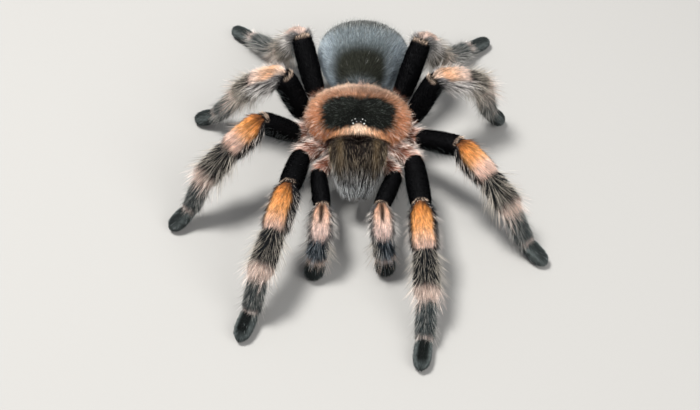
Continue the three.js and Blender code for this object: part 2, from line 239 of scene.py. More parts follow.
def tube(centres, tops, sides, heights, widths, around, ends=None):
    """Rings round a line and a point at each end: the points and faces of a closed tube."""
    angle = np.arange(around) * 2 * math.pi / around
    rings = (centres[:, None] + sides[:, None] * (widths[:, None] * np.sin(angle))[..., None]
             + tops[:, None] * (heights[:, None] * np.cos(angle))[..., None])
    points = np.concatenate([rings.reshape(-1, 3), ends or (centres[0], centres[-1])])
    rim = np.arange(around)
    following = (rim + 1) % around
    rows = np.arange(len(centres) - 1)[:, None] * around
    a, b = (rows + rim).ravel(), (rows + following).ravel()
    walls = np.stack([a, b, b + around, a, b + around, a + around], axis=1).reshape(-1, 3)
    hub, last = len(centres) * around, (len(centres) - 1) * around
    low = np.stack([following, rim, np.full(around, hub)], axis=1)
    high = np.stack([rim + last, following + last, np.full(around, hub + 1)], axis=1)
    return points, np.concatenate([walls, low, high])


# %% Lofts that remember their part
forms = {"points": [], "faces": [], "part": [], "u": [], "v": []}
parts = []                     # (name, kind, start, end) of each part, by its number
AROUND = 32


def add_loft(name, kind, centres, sides, tops, widths, heights, shares, ends=None):
    """A part's own tube, whose points remember the part and their place on it."""
    points, faces = tube(centres, tops, sides, heights, widths, AROUND)
    angle = np.arange(AROUND) * 2 * math.pi / AROUND
    around = np.where(angle > math.pi, angle - 2 * math.pi, angle) / math.pi
    forms["faces"].append(faces + sum(len(p) for p in forms["points"]))
    forms["points"].append(points)
    forms["part"].append(np.full(len(points), len(parts)))
    forms["u"].append(np.append(np.repeat(shares, AROUND), [shares[0], shares[-1]]))
    forms["v"].append(np.append(np.tile(around, len(centres)), [0.0, 0.0]))
    parts.append((name, kind, *(ends or (centres[0], centres[-1]))))


def unit(vectors):
    vectors = np.asarray(vectors, float)
    return vectors / np.linalg.norm(vectors, axis=-1, keepdims=True)


def side_and_top(along):
    side = unit(np.cross([0.0, 0.0, 1.0], along))
    return side, np.cross(along, side)


# %% [markdown]
# ### Legs and palps
# A spider's leg is a chain of stiff tubes: hip (coxa and trochanter), femur, patella, tibia,
# metatarsus and tarsus. Each is a little barrel, widest past its middle and drawn in at the
# joints. The coat's depth is taken off the girth of the solid, most where the hair is long.

# %% Limb segments
# kind: coat depth as a share of the girth, and (share, width) along the segment
SEGMENTS = {
    "coxa": (0.18, [(0, 0.90), (0.4, 0.98), (0.8, 1.0), (1, 0.90)]),
    "trochanter": (0.16, [(0, 0.88), (0.5, 1.02), (1, 0.92)]),
    "femur": (0.12, [(0, 0.80), (0.14, 0.93), (0.45, 1.02), (0.8, 1.0), (1, 0.88)]),
    "patella": (0.17, [(0, 0.86), (0.2, 0.99), (0.6, 1.04), (0.86, 1.02), (1, 0.88)]),
    "tibia": (0.23, [(0, 0.78), (0.16, 0.94), (0.5, 1.02), (0.84, 1.04), (1, 0.86)]),
    "metatarsus": (0.22, [(0, 0.80), (0.2, 0.96), (0.6, 1.0), (0.88, 0.98), (1, 0.84)]),
    "tarsus": (0.14, [(0, 0.80), (0.25, 0.98), (0.6, 1.02), (0.84, 0.88), (1, 0.70)]),
}
RINGS = 30
STATIONS = np.sin(np.linspace(-math.pi / 2, math.pi / 2, RINGS)) / 2 + 0.5    # closer at the ends
OVERLAP = 0.34                 # how far a segment reaches into the next, as a share of its girth


def add_segment(name, kind, start, end, girth):
    depth, profile = SEGMENTS[kind]
    length = np.linalg.norm(end - start)
    along = (end - start) / length
    side, top = side_and_top(along)
    overlap = OVERLAP * girth
    whole = length + overlap + (0.0 if kind == "tarsus" else overlap)
    shares = (STATIONS * whole - overlap) / length
    radius = girth * (1 - depth) * np.interp(shares, *zip(*profile))
    nearness = np.minimum(STATIONS, 1 - STATIONS) * whole
    blunt = 0.9 if kind == "tarsus" else 0.6
    closing = np.clip(nearness / (blunt * girth), 0, 1)
    radius = radius * np.sqrt(1 - (1 - closing) ** 2)
    centres = start + along * (shares * length)[:, None]
    add_loft(name, kind, centres, np.tile(side, (RINGS, 1)), np.tile(top, (RINGS, 1)),
             radius, radius, shares, (start, end))


TROCHANTER = 0.6               # share of the hip where the coxa ends
for limb, (joints, girths) in chains.items():
    waist = joints[0] + (joints[1] - joints[0]) * TROCHANTER
    add_segment(limb, "coxa", joints[0], waist, girths[0])
    add_segment(limb, "trochanter", waist, joints[1], girths[0])
    kinds = ["femur", "patella", "tibia", "metatarsus", "tarsus"]
    if limb.startswith("palp"):
        kinds.remove("metatarsus")
    for kind, start, end, girth in zip(kinds, joints[1:], joints[2:], girths[1:]):
        add_segment(limb, kind, start, end, girth)
print(len(parts), "limb segments")

# %% [markdown]
# ### The shield
# The carapace is a low dome, blunt over the jaws and broadest in the middle. Behind the raised
# head part lies the fovea, a pit where the stomach muscles are fixed, and shallow grooves run
# from it to the gaps between the legs.

# %% Shield
SHIELD_DEPTH = 0.55            # of its short coat
FOVEA = 2.6                    # how far the pit lies behind the middle
GROOVES = (40, 75, 108, 140)   # bearings of the grooves from it, in degrees
RIM_DROP = 0.5                 # the skin's front rim lies this far under the hairs of its band
# share of the length, and shares of the half-width, the crest and the brow
SHIELD = np.array([
    [0, 0.66, 0.92, 1], [0.06, 0.79, 1.0, 0.80], [0.17, 0.92, 1.02, 0.35],
    [0.33, 1.0, 1.0, 0], [0.5, 1.0, 0.92, 0], [0.66, 0.95, 0.83, 0],
    [0.81, 0.79, 0.74, 0], [0.93, 0.56, 0.63, 0], [1, 0.32, 0.54, 0],
])


def add_shield():
    stations = np.linspace(0, 1, 60)
    width, crest, brow = (np.interp(stations, SHIELD[:, 0], SHIELD[:, k])[:, None]
                          for k in (1, 2, 3))
    front, rear = CARAPACE_FRONT + 0.2, CARAPACE_REAR - SHIELD_DEPTH
    y = front + stations * (rear - front)
    angle = np.arange(AROUND) * 2 * math.pi / AROUND
    x = (width * CARAPACE_HALF_WIDTH - SHIELD_DEPTH) * np.sin(angle)
    lift = brow * CARAPACE_BROW * (1 - CARAPACE_ARCH * np.sin(angle) ** 2)
    rim = CARAPACE_RIM - 0.2 + lift - RIM_DROP * brow
    top = crest * CARAPACE_CREST - SHIELD_DEPTH
    low = CARAPACE_UNDERSIDE + 0.1 + lift - RIM_DROP * brow
    rise = top - CARAPACE_RIM + 0.2 - brow * (CARAPACE_BROW - RIM_DROP)
    upper = rim + rise * np.clip(np.cos(angle), 0, 1) ** 0.85
    lower = rim - (rim - low) * np.clip(-np.cos(angle), 0, 1) ** 0.5
    z = np.where(np.cos(angle) >= 0, upper, lower)
    behind_pit = y[:, None] - FOVEA
    pit = np.exp(-((x / 1.5) ** 2 + (behind_pit / 0.7) ** 2))
    bearing = np.arctan2(x, behind_pit)
    distance = np.hypot(x, behind_pit)
    grooves = np.zeros_like(x)
    for way in GROOVES:
        off = (np.abs(bearing) - math.radians(way)) * distance
        grooves += np.exp(-(off / 0.55) ** 2) * np.clip(distance / 3, 0, 1)
    z = np.where(np.cos(angle) > 0.05, z - 1.0 * pit - 0.28 * grooves, z)
    ring = from_body(np.stack([x, np.repeat(y[:, None], AROUND, 1), z], axis=-1).reshape(-1, 3))
    middle = from_body(np.stack([0 * y, y, z.mean(axis=1)], axis=-1))
    ones = np.ones(len(stations))
    side, up = np.tile([1.0, 0, 0], (len(y), 1)), np.tile([0, 0, 1.0], (len(y), 1))
    add_loft("body", "shield", middle, side, up, ones, ones, stations)
    forms["points"][-1][:len(ring)] = ring


add_shield()
print("shield lofted from", len(SHIELD), "stations")

# %% [markdown]
# ### Core, sternum and eye mound
# Under the shield the hips meet in a soft body, closed below by the sternum and a small lip.
# Each is an egg, which is enough for forms that hair and legs mostly hide. The mound that
# carries the eyes is one more egg, half sunk in the shield's front.

# %% Eggs under and on the shield


def add_egg(kind, at, half, stations=24):
    """An egg in the body's frame, lofted from front to rear."""
    share = (1 - np.cos(np.linspace(0.02, math.pi - 0.02, stations))) / 2
    swell = np.sqrt(np.clip(1 - (2 * share - 1) ** 2, 0, 1))
    y = at[1] + (2 * share - 1) * half[1]
    centres = from_body(np.stack([0 * y + at[0], y, 0 * y + at[2]], axis=-1))
    up = turned([0, 0, 1.0])
    side = np.tile([1.0, 0, 0], (stations, 1))
    add_loft("body", kind, centres, side, np.tile(up, (stations, 1)),
             half[0] * swell, half[2] * swell, share)


EYE_MOUND = {"at": (0, -7.2, 6.65), "half": (1.6, 1.1, 1.05)}
for kind, at, half in (("core", (0, 0.7, 1.4), (8.8, 9.2, 2.3)),
                       ("sternum", (0, 0.7, -0.1), (4.1, 5.0, 2.2)),
                       ("sternum", (0, -4.6, -1.7), (1.3, 1.2, 0.8)),
                       ("eye_mound", EYE_MOUND["at"], EYE_MOUND["half"])):
    add_egg(kind, at, half)

# %% [markdown]
# ### Abdomen, jaws and spinnerets
# These solids are lofts too. Their loops are read back, drawn through with a smooth curve, and
# shrunk by the depth of the coat.

# %% Smooth lofts through the loops of a solid


def smoothed(rows, count):
    """A run of values drawn through with a Catmull-Rom curve."""
    rows = np.asarray(rows, float)
    padded = np.concatenate([2 * rows[:1] - rows[1:2], rows, 2 * rows[-1:] - rows[-2:-1]])
    place = np.linspace(0, len(rows) - 1, count)
    k = np.minimum(place.astype(int), len(rows) - 2)
    t = (place - k)[:, None]
    a, b, c, d = (padded[k + j] for j in range(4))
    return (2 * b + (c - a) * t + (2 * a - 5 * b + 4 * c - d) * t ** 2
            + (3 * b - a - 3 * c + d) * t ** 3) / 2


THINNEST = 0.12                # half the least thickness of a loft
PRESSED = 0.25                 # how far each jaw is moved towards the other
runs = {}                      # number of a part: shares and directions along it


def add_from_solid(node, kind, depth, count, near, root=0):
    """The solid's loops drawn through smoothly, a coat's depth inside it. Its root may be
    drawn out, in mm, so that it still reaches the skin of what carries it."""
    loops = ordered_from(near, loops_of(node))[1:-1]
    centres = np.array([loop.mean(axis=0) for loop in loops])
    along = unit(np.gradient(centres, axis=0))
    side = unit(np.cross([0, 0, 1.0], along)) if kind != "chelicera" else np.tile(
        [1.0, 0, 0], (len(loops), 1))
    top = unit(np.cross(along, side))
    width = [np.abs((loop - c) @ s).max() for loop, c, s in zip(loops, centres, side)]
    height = [np.abs((loop - c) @ t).max() for loop, c, t in zip(loops, centres, top)]
    rows = np.column_stack([centres, side, top, width, height])
    if root:
        rows = np.concatenate([rows[:1], rows])
        rows[0, :3] -= root * along[0]
    rows = smoothed(rows, count)
    middle, side, top = rows[:, 0:3], unit(rows[:, 3:6]), unit(rows[:, 6:9])
    shares = np.linspace(0, 1, count)
    wide, high = (np.maximum(rows[:, k] - depth, THINNEST) for k in (9, 10))
    if kind == "chelicera":            # the two lobes are broad, and press together
        wide = wide + depth
        middle = middle - [math.copysign(PRESSED, middle[0, 0] - ORIGIN[0]), 0, 0]
    runs[len(parts)] = shares, unit(np.gradient(middle, axis=0))
    add_loft(node, kind, middle, side, top, wide, high, shares)


add_from_solid("abdomen", "abdomen", 0.75, 90, ORIGIN)
for side in ("left", "right"):
    add_from_solid(f"chelicera_{side}", "chelicera", 0.30, 50, ORIGIN)
    add_from_solid(f"spinneret_{side}", "spinneret", 0.0, 30, ORIGIN, root=3.0)
print(len(parts), "parts in all")

# %% [markdown]
# ### Melting the parts together
# Boolean unions of dozens of lofts are slow and fragile. A voxel remesh asks only which points
# are inside, so overlapping forms become one closed surface in a second or two.

# %% Remesh and smooth
VOXEL = 0.37                   # fine enough for the thinnest segments of the palps
SOLE = 0.02                    # the feet rest flat, just above the floor


def mesh_from(name, points, faces):
    mesh = bpy.data.meshes.new(name)
    mesh.vertices.add(len(points))
    mesh.vertices.foreach_set("co", np.ascontiguousarray(points, np.float32).ravel())
    mesh.loops.add(faces.size)
    mesh.loops.foreach_set("vertex_index", np.ascontiguousarray(faces, np.int32).ravel())
    mesh.polygons.add(len(faces))
    mesh.polygons.foreach_set("loop_start", np.arange(len(faces), dtype=np.int32) * faces.shape[1])
    mesh.update(calc_edges=True)
    mesh.validate()
    return mesh


def evaluated(obj):
    """A plain mesh of what the object's modifiers make."""
    graph = bpy.context.evaluated_depsgraph_get()
    return bpy.data.meshes.new_from_object(obj.evaluated_get(graph))


def melted_skin():
    points = np.concatenate(forms["points"])
    draft = bpy.data.objects.new("draft", mesh_from("draft", points,
                                                    np.concatenate(forms["faces"])))
    bpy.context.scene.collection.objects.link(draft)
    remesh = draft.modifiers.new("melt", "REMESH")
    remesh.mode = "VOXEL"
    remesh.voxel_size = VOXEL
    smooth = draft.modifiers.new("smooth", "SMOOTH")
    smooth.factor = 0.5
    smooth.iterations = 3
    mesh = evaluated(draft)
    bpy.data.objects.remove(draft)
    return mesh


def vertex_array(mesh, what, width=3):
    values = np.empty(len(mesh.vertices) * width, np.float32)
    mesh.vertices.foreach_get(what, values)
    return values.reshape(-1, width).astype(float)


skin_mesh = melted_skin()
place = vertex_array(skin_mesh, "co")
place[:, 2] = np.maximum(place[:, 2], SOLE)
skin_mesh.vertices.foreach_set("co", place.astype(np.float32).ravel())
skin_mesh.update()
normal = vertex_array(skin_mesh, "normal")
skin_mesh.calc_loop_triangles()
print("skin:", len(skin_mesh.vertices), "points,", len(skin_mesh.loop_triangles), "triangles")

# %% [markdown]
# ### Where am I on the spider?
# For each point of the skin: its part, its share `u` along that part, and `v` round it, from 0
# on top to 1 or -1 underneath. On the limbs these come from the joints, and elsewhere from the
# nearest points of the lofts.

# %% Place of each skin point


def along_and_round(points, start, end):
    """Share along a segment and place round it, for points near it."""
    along = unit(end - start)
    side, top = side_and_top(along)
    arm = points - start
    return arm @ along / np.linalg.norm(end - start), np.arctan2(arm @ side, arm @ top) / math.pi


cloud = np.concatenate(forms["points"])
tree = KDTree(len(cloud))
for k, point in enumerate(cloud):
    tree.insert(point, k)
tree.balance()
nearest = np.array([tree.find(point)[1] for point in place])
part_of = np.concatenate(forms["part"])[nearest]
u = np.concatenate(forms["u"])[nearest]
v = np.concatenate(forms["v"])[nearest]
kind_of = np.array([part[1] for part in parts])[part_of]
name_of = np.array([part[0] for part in parts])[part_of]
lie = np.zeros_like(place)
span = np.ones(len(place))             # length of the part, in mm
for number, (name, kind, start, end) in enumerate(parts):
    mine = part_of == number
    lie[mine] = unit(end - start)
    if kind in SEGMENTS:
        span[mine] = np.linalg.norm(end - start)
        u[mine], v[mine] = along_and_round(place[mine], start, end)
at_body = to_body(place)
print({kind: int((kind_of == kind).sum()) for kind in np.unique(kind_of)})

# %% [markdown]
# ### Which way the hair lies
# Hair grows out along a limb towards its tip, fans outwards over the shield, runs back over
# the abdomen and down the jaws. The direction is laid into the surface at every point.

# %% Lie of the coat


def kind_is(*kinds):
    """Which points are on parts of these kinds."""
    return np.isin(kind_of, kinds)


for number, (shares, tangents) in runs.items():
    mine = part_of == number
    lie[mine] = np.stack([np.interp(u[mine], shares, tangents[:, k]) for k in range(3)], axis=-1)

on_shield = kind_is("shield", "core", "eye_mound")
outward = np.stack([at_body[:, 0], 1.25 * (at_body[:, 1] - 0.5), 0 * u - 1.5], axis=-1)
lie[on_shield] = turned(outward[on_shield])
on_jaws = kind_is("chelicera")
inward = -0.45 * np.tanh(at_body[:, 0] / 2.5) * np.clip(u - 0.45, 0, 1)
inward *= 1 - 2.2 * np.clip((np.abs(at_body[:, 0]) - 3.6) / 1.6, 0, 1)     # the outer hair flares
lie[on_jaws, 0] += inward[on_jaws]
on_abdomen = kind_is("abdomen")
lie[on_abdomen, 0] += 0.25 * (at_body[on_abdomen, 0] / 11)
normal = unit(normal)
flat = np.where(on_jaws, 1 - 0.7 * np.clip((u - 0.60) / 0.2, 0, 1), 1.0)    # the rest hangs
lie = lie - (flat * (lie * normal).sum(axis=1))[:, None] * normal
lie = unit(lie + 1e-6)
print("hair laid at", len(lie), "points")

# %% [markdown]
# ## Markings
# Every marking is a rule on the place: how far along the segment, how far round it, or how far
# out on the shield. The skin and each hair take their colour from the same rule.

# %% Colour helpers


def linear(code):
    """sRGB hex to linear red, green and blue."""
    values = np.array([int(code[k:k + 2], 16) for k in (1, 3, 5)]) / 255
    return np.where(values <= 0.04045, values / 12.92, ((values + 0.055) / 1.055) ** 2.4)


def ease(x, low, high):
    """From 0 at low to 1 at high, with soft ends."""
    t = np.clip((x - low) / (high - low), 0, 1)
    return t * t * (3 - 2 * t)


def mix(a, b, share):
    """Two colours, as hex or linear, mixed by the share of the second."""
    a, b = (linear(colour) if isinstance(colour, str) else colour for colour in (a, b))
    share = np.asarray(share, float)[..., None]
    return a * (1 - share) + b * share


def ramp(x, *stops):
    """Colour at x between (place, hex) stops."""
    places = [place for place, _ in stops]
    colours = np.array([linear(code) for _, code in stops])
    return np.stack([np.interp(x, places, colours[:, k]) for k in range(3)], axis=-1)


# %% Markings of the limbs
skin_colour = np.tile(linear("#17171a"), (len(u), 1))
hair_colour = skin_colour.copy()       # the short coat
long_colour = skin_colour.copy()       # the bristles that stand through it


def paint(where, skin, short, long):
    """Colours of the skin, the short coat and the bristles, for the points of one kind."""
    for layer, colour in ((skin_colour, skin), (hair_colour, short), (long_colour, long)):
        colour = linear(colour) if isinstance(colour, str) else colour
        layer[where] = np.broadcast_to(colour, layer.shape)[where]


def limb_is(*names):
    """Which points are on limbs whose names start so."""
    return np.any([np.char.startswith(name_of, name) for name in names], axis=0)


front_legs, second_legs, palps = (limb_is(name) for name in ("leg1", "leg2", "palp"))
rear_legs = limb_is("leg3", "leg4")
# Painted light and shade: both front flames are shifted the same way, towards the lamp on the
# left, so their right sides are painted dark. That is inwards on the left leg and outwards on the
# right.
across = np.abs(v + np.where(front_legs, 0.07, 0.0))    # the front flames face a little inwards
around = np.abs(v)             # from 0 on top to 1 underneath
past_joint = np.where(kind_is("femur"), (u - 1) * span, u * span)      # mm beyond the knee
rim_hairs = (ease(past_joint, -0.55, -0.35) * (1 - ease(past_joint, 0.0, 0.12))
             * (1 - ease(across, 0.24, 0.38)))
print("limb points:", int(kind_is(*SEGMENTS).sum()))

# %% [markdown]
# ### Hips and thighs
# Between the stiff tubes the skin is pinkish and soft, and shows most in the folds of the hips
# under cream hair. The thighs are velvet black, with a pale rim of hair at the knee.

# %% Markings of hips and thighs
hips = kind_is("coxa", "trochanter")
fold = ease(u, 0.50, 0.90)
rear_dark = np.where(rear_legs, 0.35, 1.0)
hip_top = (1 - ease(around, 0.40, 0.72)) * rear_dark
paint(hips, mix("#150e0c", "#9a5f4a", hip_top * (0.35 + 0.65 * fold)),
      mix("#211916", "#c58a72", hip_top * (0.45 + 0.55 * fold)),
      mix("#5a463c", "#fbe9dc", hip_top))

femora = kind_is("femur")
paint(femora, mix("#030304", "#2a221d", rim_hairs),
      mix("#040405", "#d9c0aa", rim_hairs),
      mix("#1e2021", "#565b5a", ease(around, 0.3, 0.6)))
print("hip and thigh points:", int((hips | femora).sum()))

# %% [markdown]
# ### Knees
# The knees give the spider its name: flame orange that pales towards the shin on the first two
# pairs of legs, paler on the rear pairs, and pink with a dark stripe on the palps. The colour
# covers the top of the segment and ends at grey flanks.

# %% Markings of the knees
flame = ramp(u * np.where(second_legs, 1.3, 1.0), (0.0, "#8a5530"), (0.12, "#df914a"),
             (0.32, "#f5ad65"), (0.58, "#f7b779"), (0.78, "#f8c8a4"), (0.94, "#f9d5c2"))
pale = ramp(u, (0.0, "#f0d0b8"), (0.15, "#f0bd94"), (0.45, "#f5cdad"), (0.8, "#f6ddcd"))
pale = mix(pale, "#efd6ca", 0.75 * limb_is("leg4"))
pink = ramp(u, (0.0, "#dba483"), (0.12, "#efbd9c"), (0.5, "#f0ccb7"), (0.9, "#ead0c5"))
knee = np.where(rear_legs[:, None], pale, np.where(palps[:, None], pink, flame))
# The colour reaches this far round the segment, less at its start and more at its end.
spread = np.select([palps, second_legs, front_legs], [0.27, 0.38, 0.285], 0.31)
spread = spread - 0.12 * (1 - ease(u, 0.0, 0.25)) + 0.07 * ease(u, 0.6, 1)
off_top = ease(across, spread - 0.03, spread + 0.07)
# Dark locks break the flames near the knee, and the palps have one dark stripe that narrows.
streaks = np.clip(1.6 * np.sin(41 * v + 1) * np.sin(27 * v + 2), 0, 1)
streaks *= 0.25 + 0.75 * (1 - ease(u, 0.15, 0.50))
stripe = np.exp(-(v / (0.11 - 0.07 * u)) ** 4) * (1 - ease(u, 0.50, 0.72))
knee = mix(knee, "#200f06", np.where(palps, 0.97 * stripe, 0.66 * streaks))
patellae = kind_is("patella")
pale_flanks = np.select([rear_legs, palps], [1.0, 0.55], 0.0)
side_coat = mix("#1c1c1e", "#8f8a88", 0.6 * pale_flanks)
paint(patellae, mix(knee * 0.55, "#131214", off_top),
      mix(knee * 1.08, side_coat, off_top),
      mix(mix(knee, "#f8e2d2", 0.3 * (1 - stripe * palps)),
          mix("#b9b0a7", "#d2ccc5", pale_flanks), off_top))
print("knee points:", int(patellae.sum()))

# %% [markdown]
# ### Shins and feet
# The shins are black under long grey hair and end in a broad pale ring. The foot's first tube
# has a narrow pale cuff, and its last is a soft grey pad, with a dark stripe along the top where
# the pad is open.

# %% Markings of shins and feet
tibiae = kind_is("tibia")
ring = ease(u, 0.68, 0.86) * (1 - 0.7 * ease(around, 0.5, 0.8))      # pale, at the far end
on_flank = ease(around, 0.12, 0.5)
shin = mix("#232527", "#2a333a", palps)
shin_long = mix("#a59c8e", "#8d959b", palps)
paint(tibiae, mix("#0d0e0f", "#8d7267", ring),
      mix(shin, "#e8d0c1", ring),
      mix(mix(shin_long, "#b3aa9d", on_flank), "#ecd6c8", ring))

metatarsi = kind_is("metatarsus")
cuff = ease(u, 0.82, 0.92) * (1 - ease(around, 0.28, 0.5))
paint(metatarsi, mix("#14171a", "#8a786f", cuff),
      mix("#545b5b", "#d2bfb5", cuff),
      mix(mix("#8b8a84", "#aeaba4", on_flank), "#e6d8cd", cuff))

tarsi = kind_is("tarsus")
open_end = ease(u, 0.02, 0.14) * (1 - ease(u, 0.72, 0.92))
foot = ramp(around, (0.0, "#474e4d"), (0.34, "#6a716f"), (0.55, "#3d4241"), (1.0, "#1c1e1e"))
pad_stripe = open_end * (1 - ease(around, 0.15, 0.30))
foot = mix(foot, "#131716", np.where(front_legs, 1.0, 0.6) * pad_stripe)
foot = mix(foot, "#202625", 0.75 * palps)
paint(tarsi, foot * 0.5, foot, "#8b9190")
print("foot points:", int((metatarsi | tarsi).sum()))

# %% [markdown]
# ### Shield
# The shield is rust brown with a paler rim. A black patch covers the head part and the middle,
# and before it a cream and orange band runs across the brow, under the eyes. Ragged noise on the
# borders keeps them from looking painted.

# %% Markings of the shield
x_body, y_body, z_body = at_body.T
x_out = np.abs(x_body)


def oval(middle, half_width, half_length, power):
    """1 on a squarish oval seen from above, less inside it."""
    return ((x_out / half_width) ** power
            + (np.abs(y_body - middle) / half_length) ** power) ** (1 / power)


ragged = np.random.default_rng(5).uniform(-1, 1, len(u))
# Rust all over, darker well inside the rim, pale along the rim and in a tuft at the rear.
rim = oval(0.85, 11.0, 9.9, 2.3)
rust = ramp(y_body, (-8, "#c07b50"), (-2, "#ba7f5d"), (4, "#cb9a79"), (8, "#ecccb3"))
rust = mix(rust, "#6d3d22", 0.50 * (1 - ease(rim, 0.66, 0.80)))
rust = mix(rust, "#e8c4aa", 0.75 * ease(rim, 0.90, 1.02) * ease(y_body, -4, 3))
rear_tuft = np.exp(-(x_body / 1.3) ** 2) * ease(y_body, 8.6, 10.2)
rust = mix(rust, "#f3cdbd", 0.8 * rear_tuft)
# The black patch: blunt in front, rounder behind, with a notch there.
bean = np.where(y_body < -2.2, oval(-2.2, 8.1, 6.6, 3.6), oval(-2.2, 8.1, 6.1, 2.5))
bean += 0.10 * np.exp(-(x_out / 1.6) ** 2) * ease(y_body, 0, 3)
bean += 0.07 * ragged
# The band before it ends at a line that curves forwards to the sides.
brow_line = -7.85 - 0.020 * x_body ** 2 + 0.25 * ragged
band = 1 - ease(y_body, brow_line - 0.25, brow_line + 0.25)
band *= 1 - ease(x_out, 7.0, 8.0)
patch = (1 - ease(bean, 0.88, 1.06)) * (1 - band)
patch = np.maximum(patch, kind_is("eye_mound") * (1 - ease(-y_body, 7.9, 8.2)))
band_colour = ramp(x_out, (0, "#f8dcc2"), (2.5, "#f5cba8"), (4.5, "#f4b98b"), (7, "#ecac7d"))
shield_colour = mix(mix(rust, band_colour, band), "#11130f", patch)
# Painted shade under the rim and on the core, and bristles paler than the coat except on the
# patch.
painted_shade_under_rim = np.where(kind_is("core"), 1.0, ease(around, 0.51, 0.58)) * ~kind_is("eye_mound")
shield_colour = mix(shield_colour, "#3d2a22", painted_shade_under_rim)
fringe = mix(mix(shield_colour, "#f4e0d0", 0.65), "#50564f", patch)
paint(on_shield, shield_colour * 0.4, shield_colour * 1.05, fringe)
paint(kind_is("sternum"), "#0d0c0d", "#151415", "#4a4644")
print("shield points:", int(on_shield.sum()))

# %% [markdown]
# ### Abdomen and jaws
# The abdomen is slate blue, dark underneath, with an olive saddle on top. The jaws are brown
# with olive stripes and grow frosted towards their tips.

# %% Markings of abdomen and jaws
rear_body = kind_is("abdomen", "spinneret")
height = np.clip((z_body + 1) / 8, -1, 1)          # -1 underneath, 1 along the back
saddle = np.exp(-(np.abs(x_body - 0.4) / 7.9) ** 4 - (np.abs(y_body - 14.0) / 5.1) ** 3)
saddle = saddle * ease(height, 0.1, 0.6)
slate = ramp(height, (-1.0, "#232122"), (-0.35, "#6c757a"), (0.05, "#a6b3bb"), (0.4, "#b0bdc5"),
             (0.75, "#a6b2b9"), (1.0, "#848e91"))
slate = mix(slate, "#2c2d25", np.clip(1.1 * saddle, 0, 1))
slate = mix(slate, "#4a463a", 0.75 * ease(y_body, 25.5, 29.0))        # brown round the spinnerets
# Painted light: the flanks next to the shield, where the legs shade them, are lightened to the
# palest part. The waist under the shield is dark.
painted_light_front_flank = (1 - ease(y_body, 12.0, 20.0)) * ease(x_out, 4.5, 8.0) * ease(height, -0.3, 0.1)
slate = mix(slate, "#c6d3db", 0.65 * painted_light_front_flank)
waist = (1 - ease(y_body, 11.0, 13.0)) * (1 - ease(height, -0.4, 0.1))
slate = mix(slate, "#211d1b", waist)
behind = ease(y_body, 17, 27)
paint(rear_body, slate * 0.5, slate, mix(slate, "#c9cac4", 0.30 + 0.25 * behind))

olive = np.exp(-((x_out - 3.75) / 0.65) ** 2) + 0.5 * np.exp(-((x_out - 5.6) / 0.35) ** 2)
olive = np.clip(olive, 0, 1) * ease(u, 0.20, 0.36)
jaw_colour = mix("#1d1613", "#5d4d38", olive)
frost = ease(u, 0.50, 0.78)
jaw_coat = mix(jaw_colour, "#1d1f21", 0.9 * frost)
jaw_coat = mix(jaw_coat, "#121010", ease(u, 0.86, 0.95))
long_jaw = mix(mix(jaw_colour, "#ab9a82", 0.45), "#cfd1d0", frost)
long_jaw = mix(long_jaw, "#1a1817", ease(u, 0.93, 1.0))
jaw_sole = ease(-normal[:, 2] + 0.4 * ease(u, 0.9, 1.0), 0.60, 0.85)    # dark and rusty below
paint(on_jaws, jaw_colour * 0.4, mix(jaw_coat, "#1f1310", jaw_sole),
      mix(long_jaw, "#6b3a2b", jaw_sole))
print("markings set on", len(u), "points")

# %% [markdown]
# ## The coat
# The hairs of a spider, its setae, are stiff and tapering. Short ones make the velvet, and long
# ones stand through it. One small tree of Geometry Nodes plants both: it strews points on the
# chosen region of the skin, turns a copy of one hair at each to the lie there, and makes the
# copies real. Particle hair would be quicker to set up, but it isn't solid.

# %% One hair


def hair(name, levels, bend):
    """A closed three-sided hair one unit long: (height, width) levels, then a point."""
    angle = np.arange(3) * 2 * math.pi / 3
    rows = [np.stack([w * np.cos(angle) - bend * z * z, w * np.sin(angle), 0 * angle + z], axis=-1)
            for z, w in levels]
    points = np.concatenate([*rows, [[-bend, 0, 1]]])
    apex = len(points) - 1
    faces = [[0, 2, 1]]
    for k in range(len(levels)):
        for a, b in ((0, 1), (1, 2), (2, 0)):
            low, following = 3 * k + a, 3 * k + b
            if k + 1 == len(levels):
                faces.append([low, following, apex])
            else:
                faces += [[low, following, following + 3], [low, following + 3, low + 3]]
    faces = np.array(faces)
    mesh = mesh_from(name, points, faces)
    mesh.attributes.new("tipness", "FLOAT", "POINT").data.foreach_set(
        "value", points[:, 2].astype(np.float32))
    third_round = np.array([k % 3 if k < apex else 1 for k in faces.ravel()]) / 2
    spot = np.stack([third_round - 0.5, points[faces.ravel(), 2] - 0.5], axis=-1)
    mesh.attributes.new("spot", "FLOAT2", "CORNER").data.foreach_set(
        "vector", spot.astype(np.float32).ravel())
    return bpy.data.objects.new(name, mesh)


# (height, width) where the hair narrows, and how far its tip bends over
SHORT_HAIR = hair("short_hair", [(0, 1.0)], 0.12)
LONG_HAIR = hair("long_hair", [(0, 1.0), (0.35, 0.85), (0.7, 0.55)], 0.22)
FINE_HAIR = hair("fine_hair", [(0, 1.0), (0.5, 0.75)], 0.18)
print("triangles of one hair:", {one.name: len(one.data.polygons)
                                 for one in (SHORT_HAIR, LONG_HAIR, FINE_HAIR)})

# %% A node with its settings and links


def add(tree, kind, inputs=None, out=0, **settings):
    """Adds a node. Inputs go by number among the ones in use or by name, and a socket as a
    value makes a link. The output that is handed back goes by number."""
    node = tree.nodes.new(kind)
    for name, value in settings.items():
        setattr(node, name, value)
    in_use = [socket for socket in node.inputs if socket.enabled]
    for key, value in (inputs or {}).items():
        socket = in_use[key] if isinstance(key, int) else node.inputs[key]
        if isinstance(value, bpy.types.NodeSocket):
            tree.links.new(value, socket)
        else:
            socket.default_value = value
    return [socket for socket in node.outputs if socket.enabled][out]


MATH, VECTOR_MATH = "ShaderNodeMath", "ShaderNodeVectorMath"
NOISE = "ShaderNodeTexNoise"
STORE = "GeometryNodeStoreNamedAttribute"

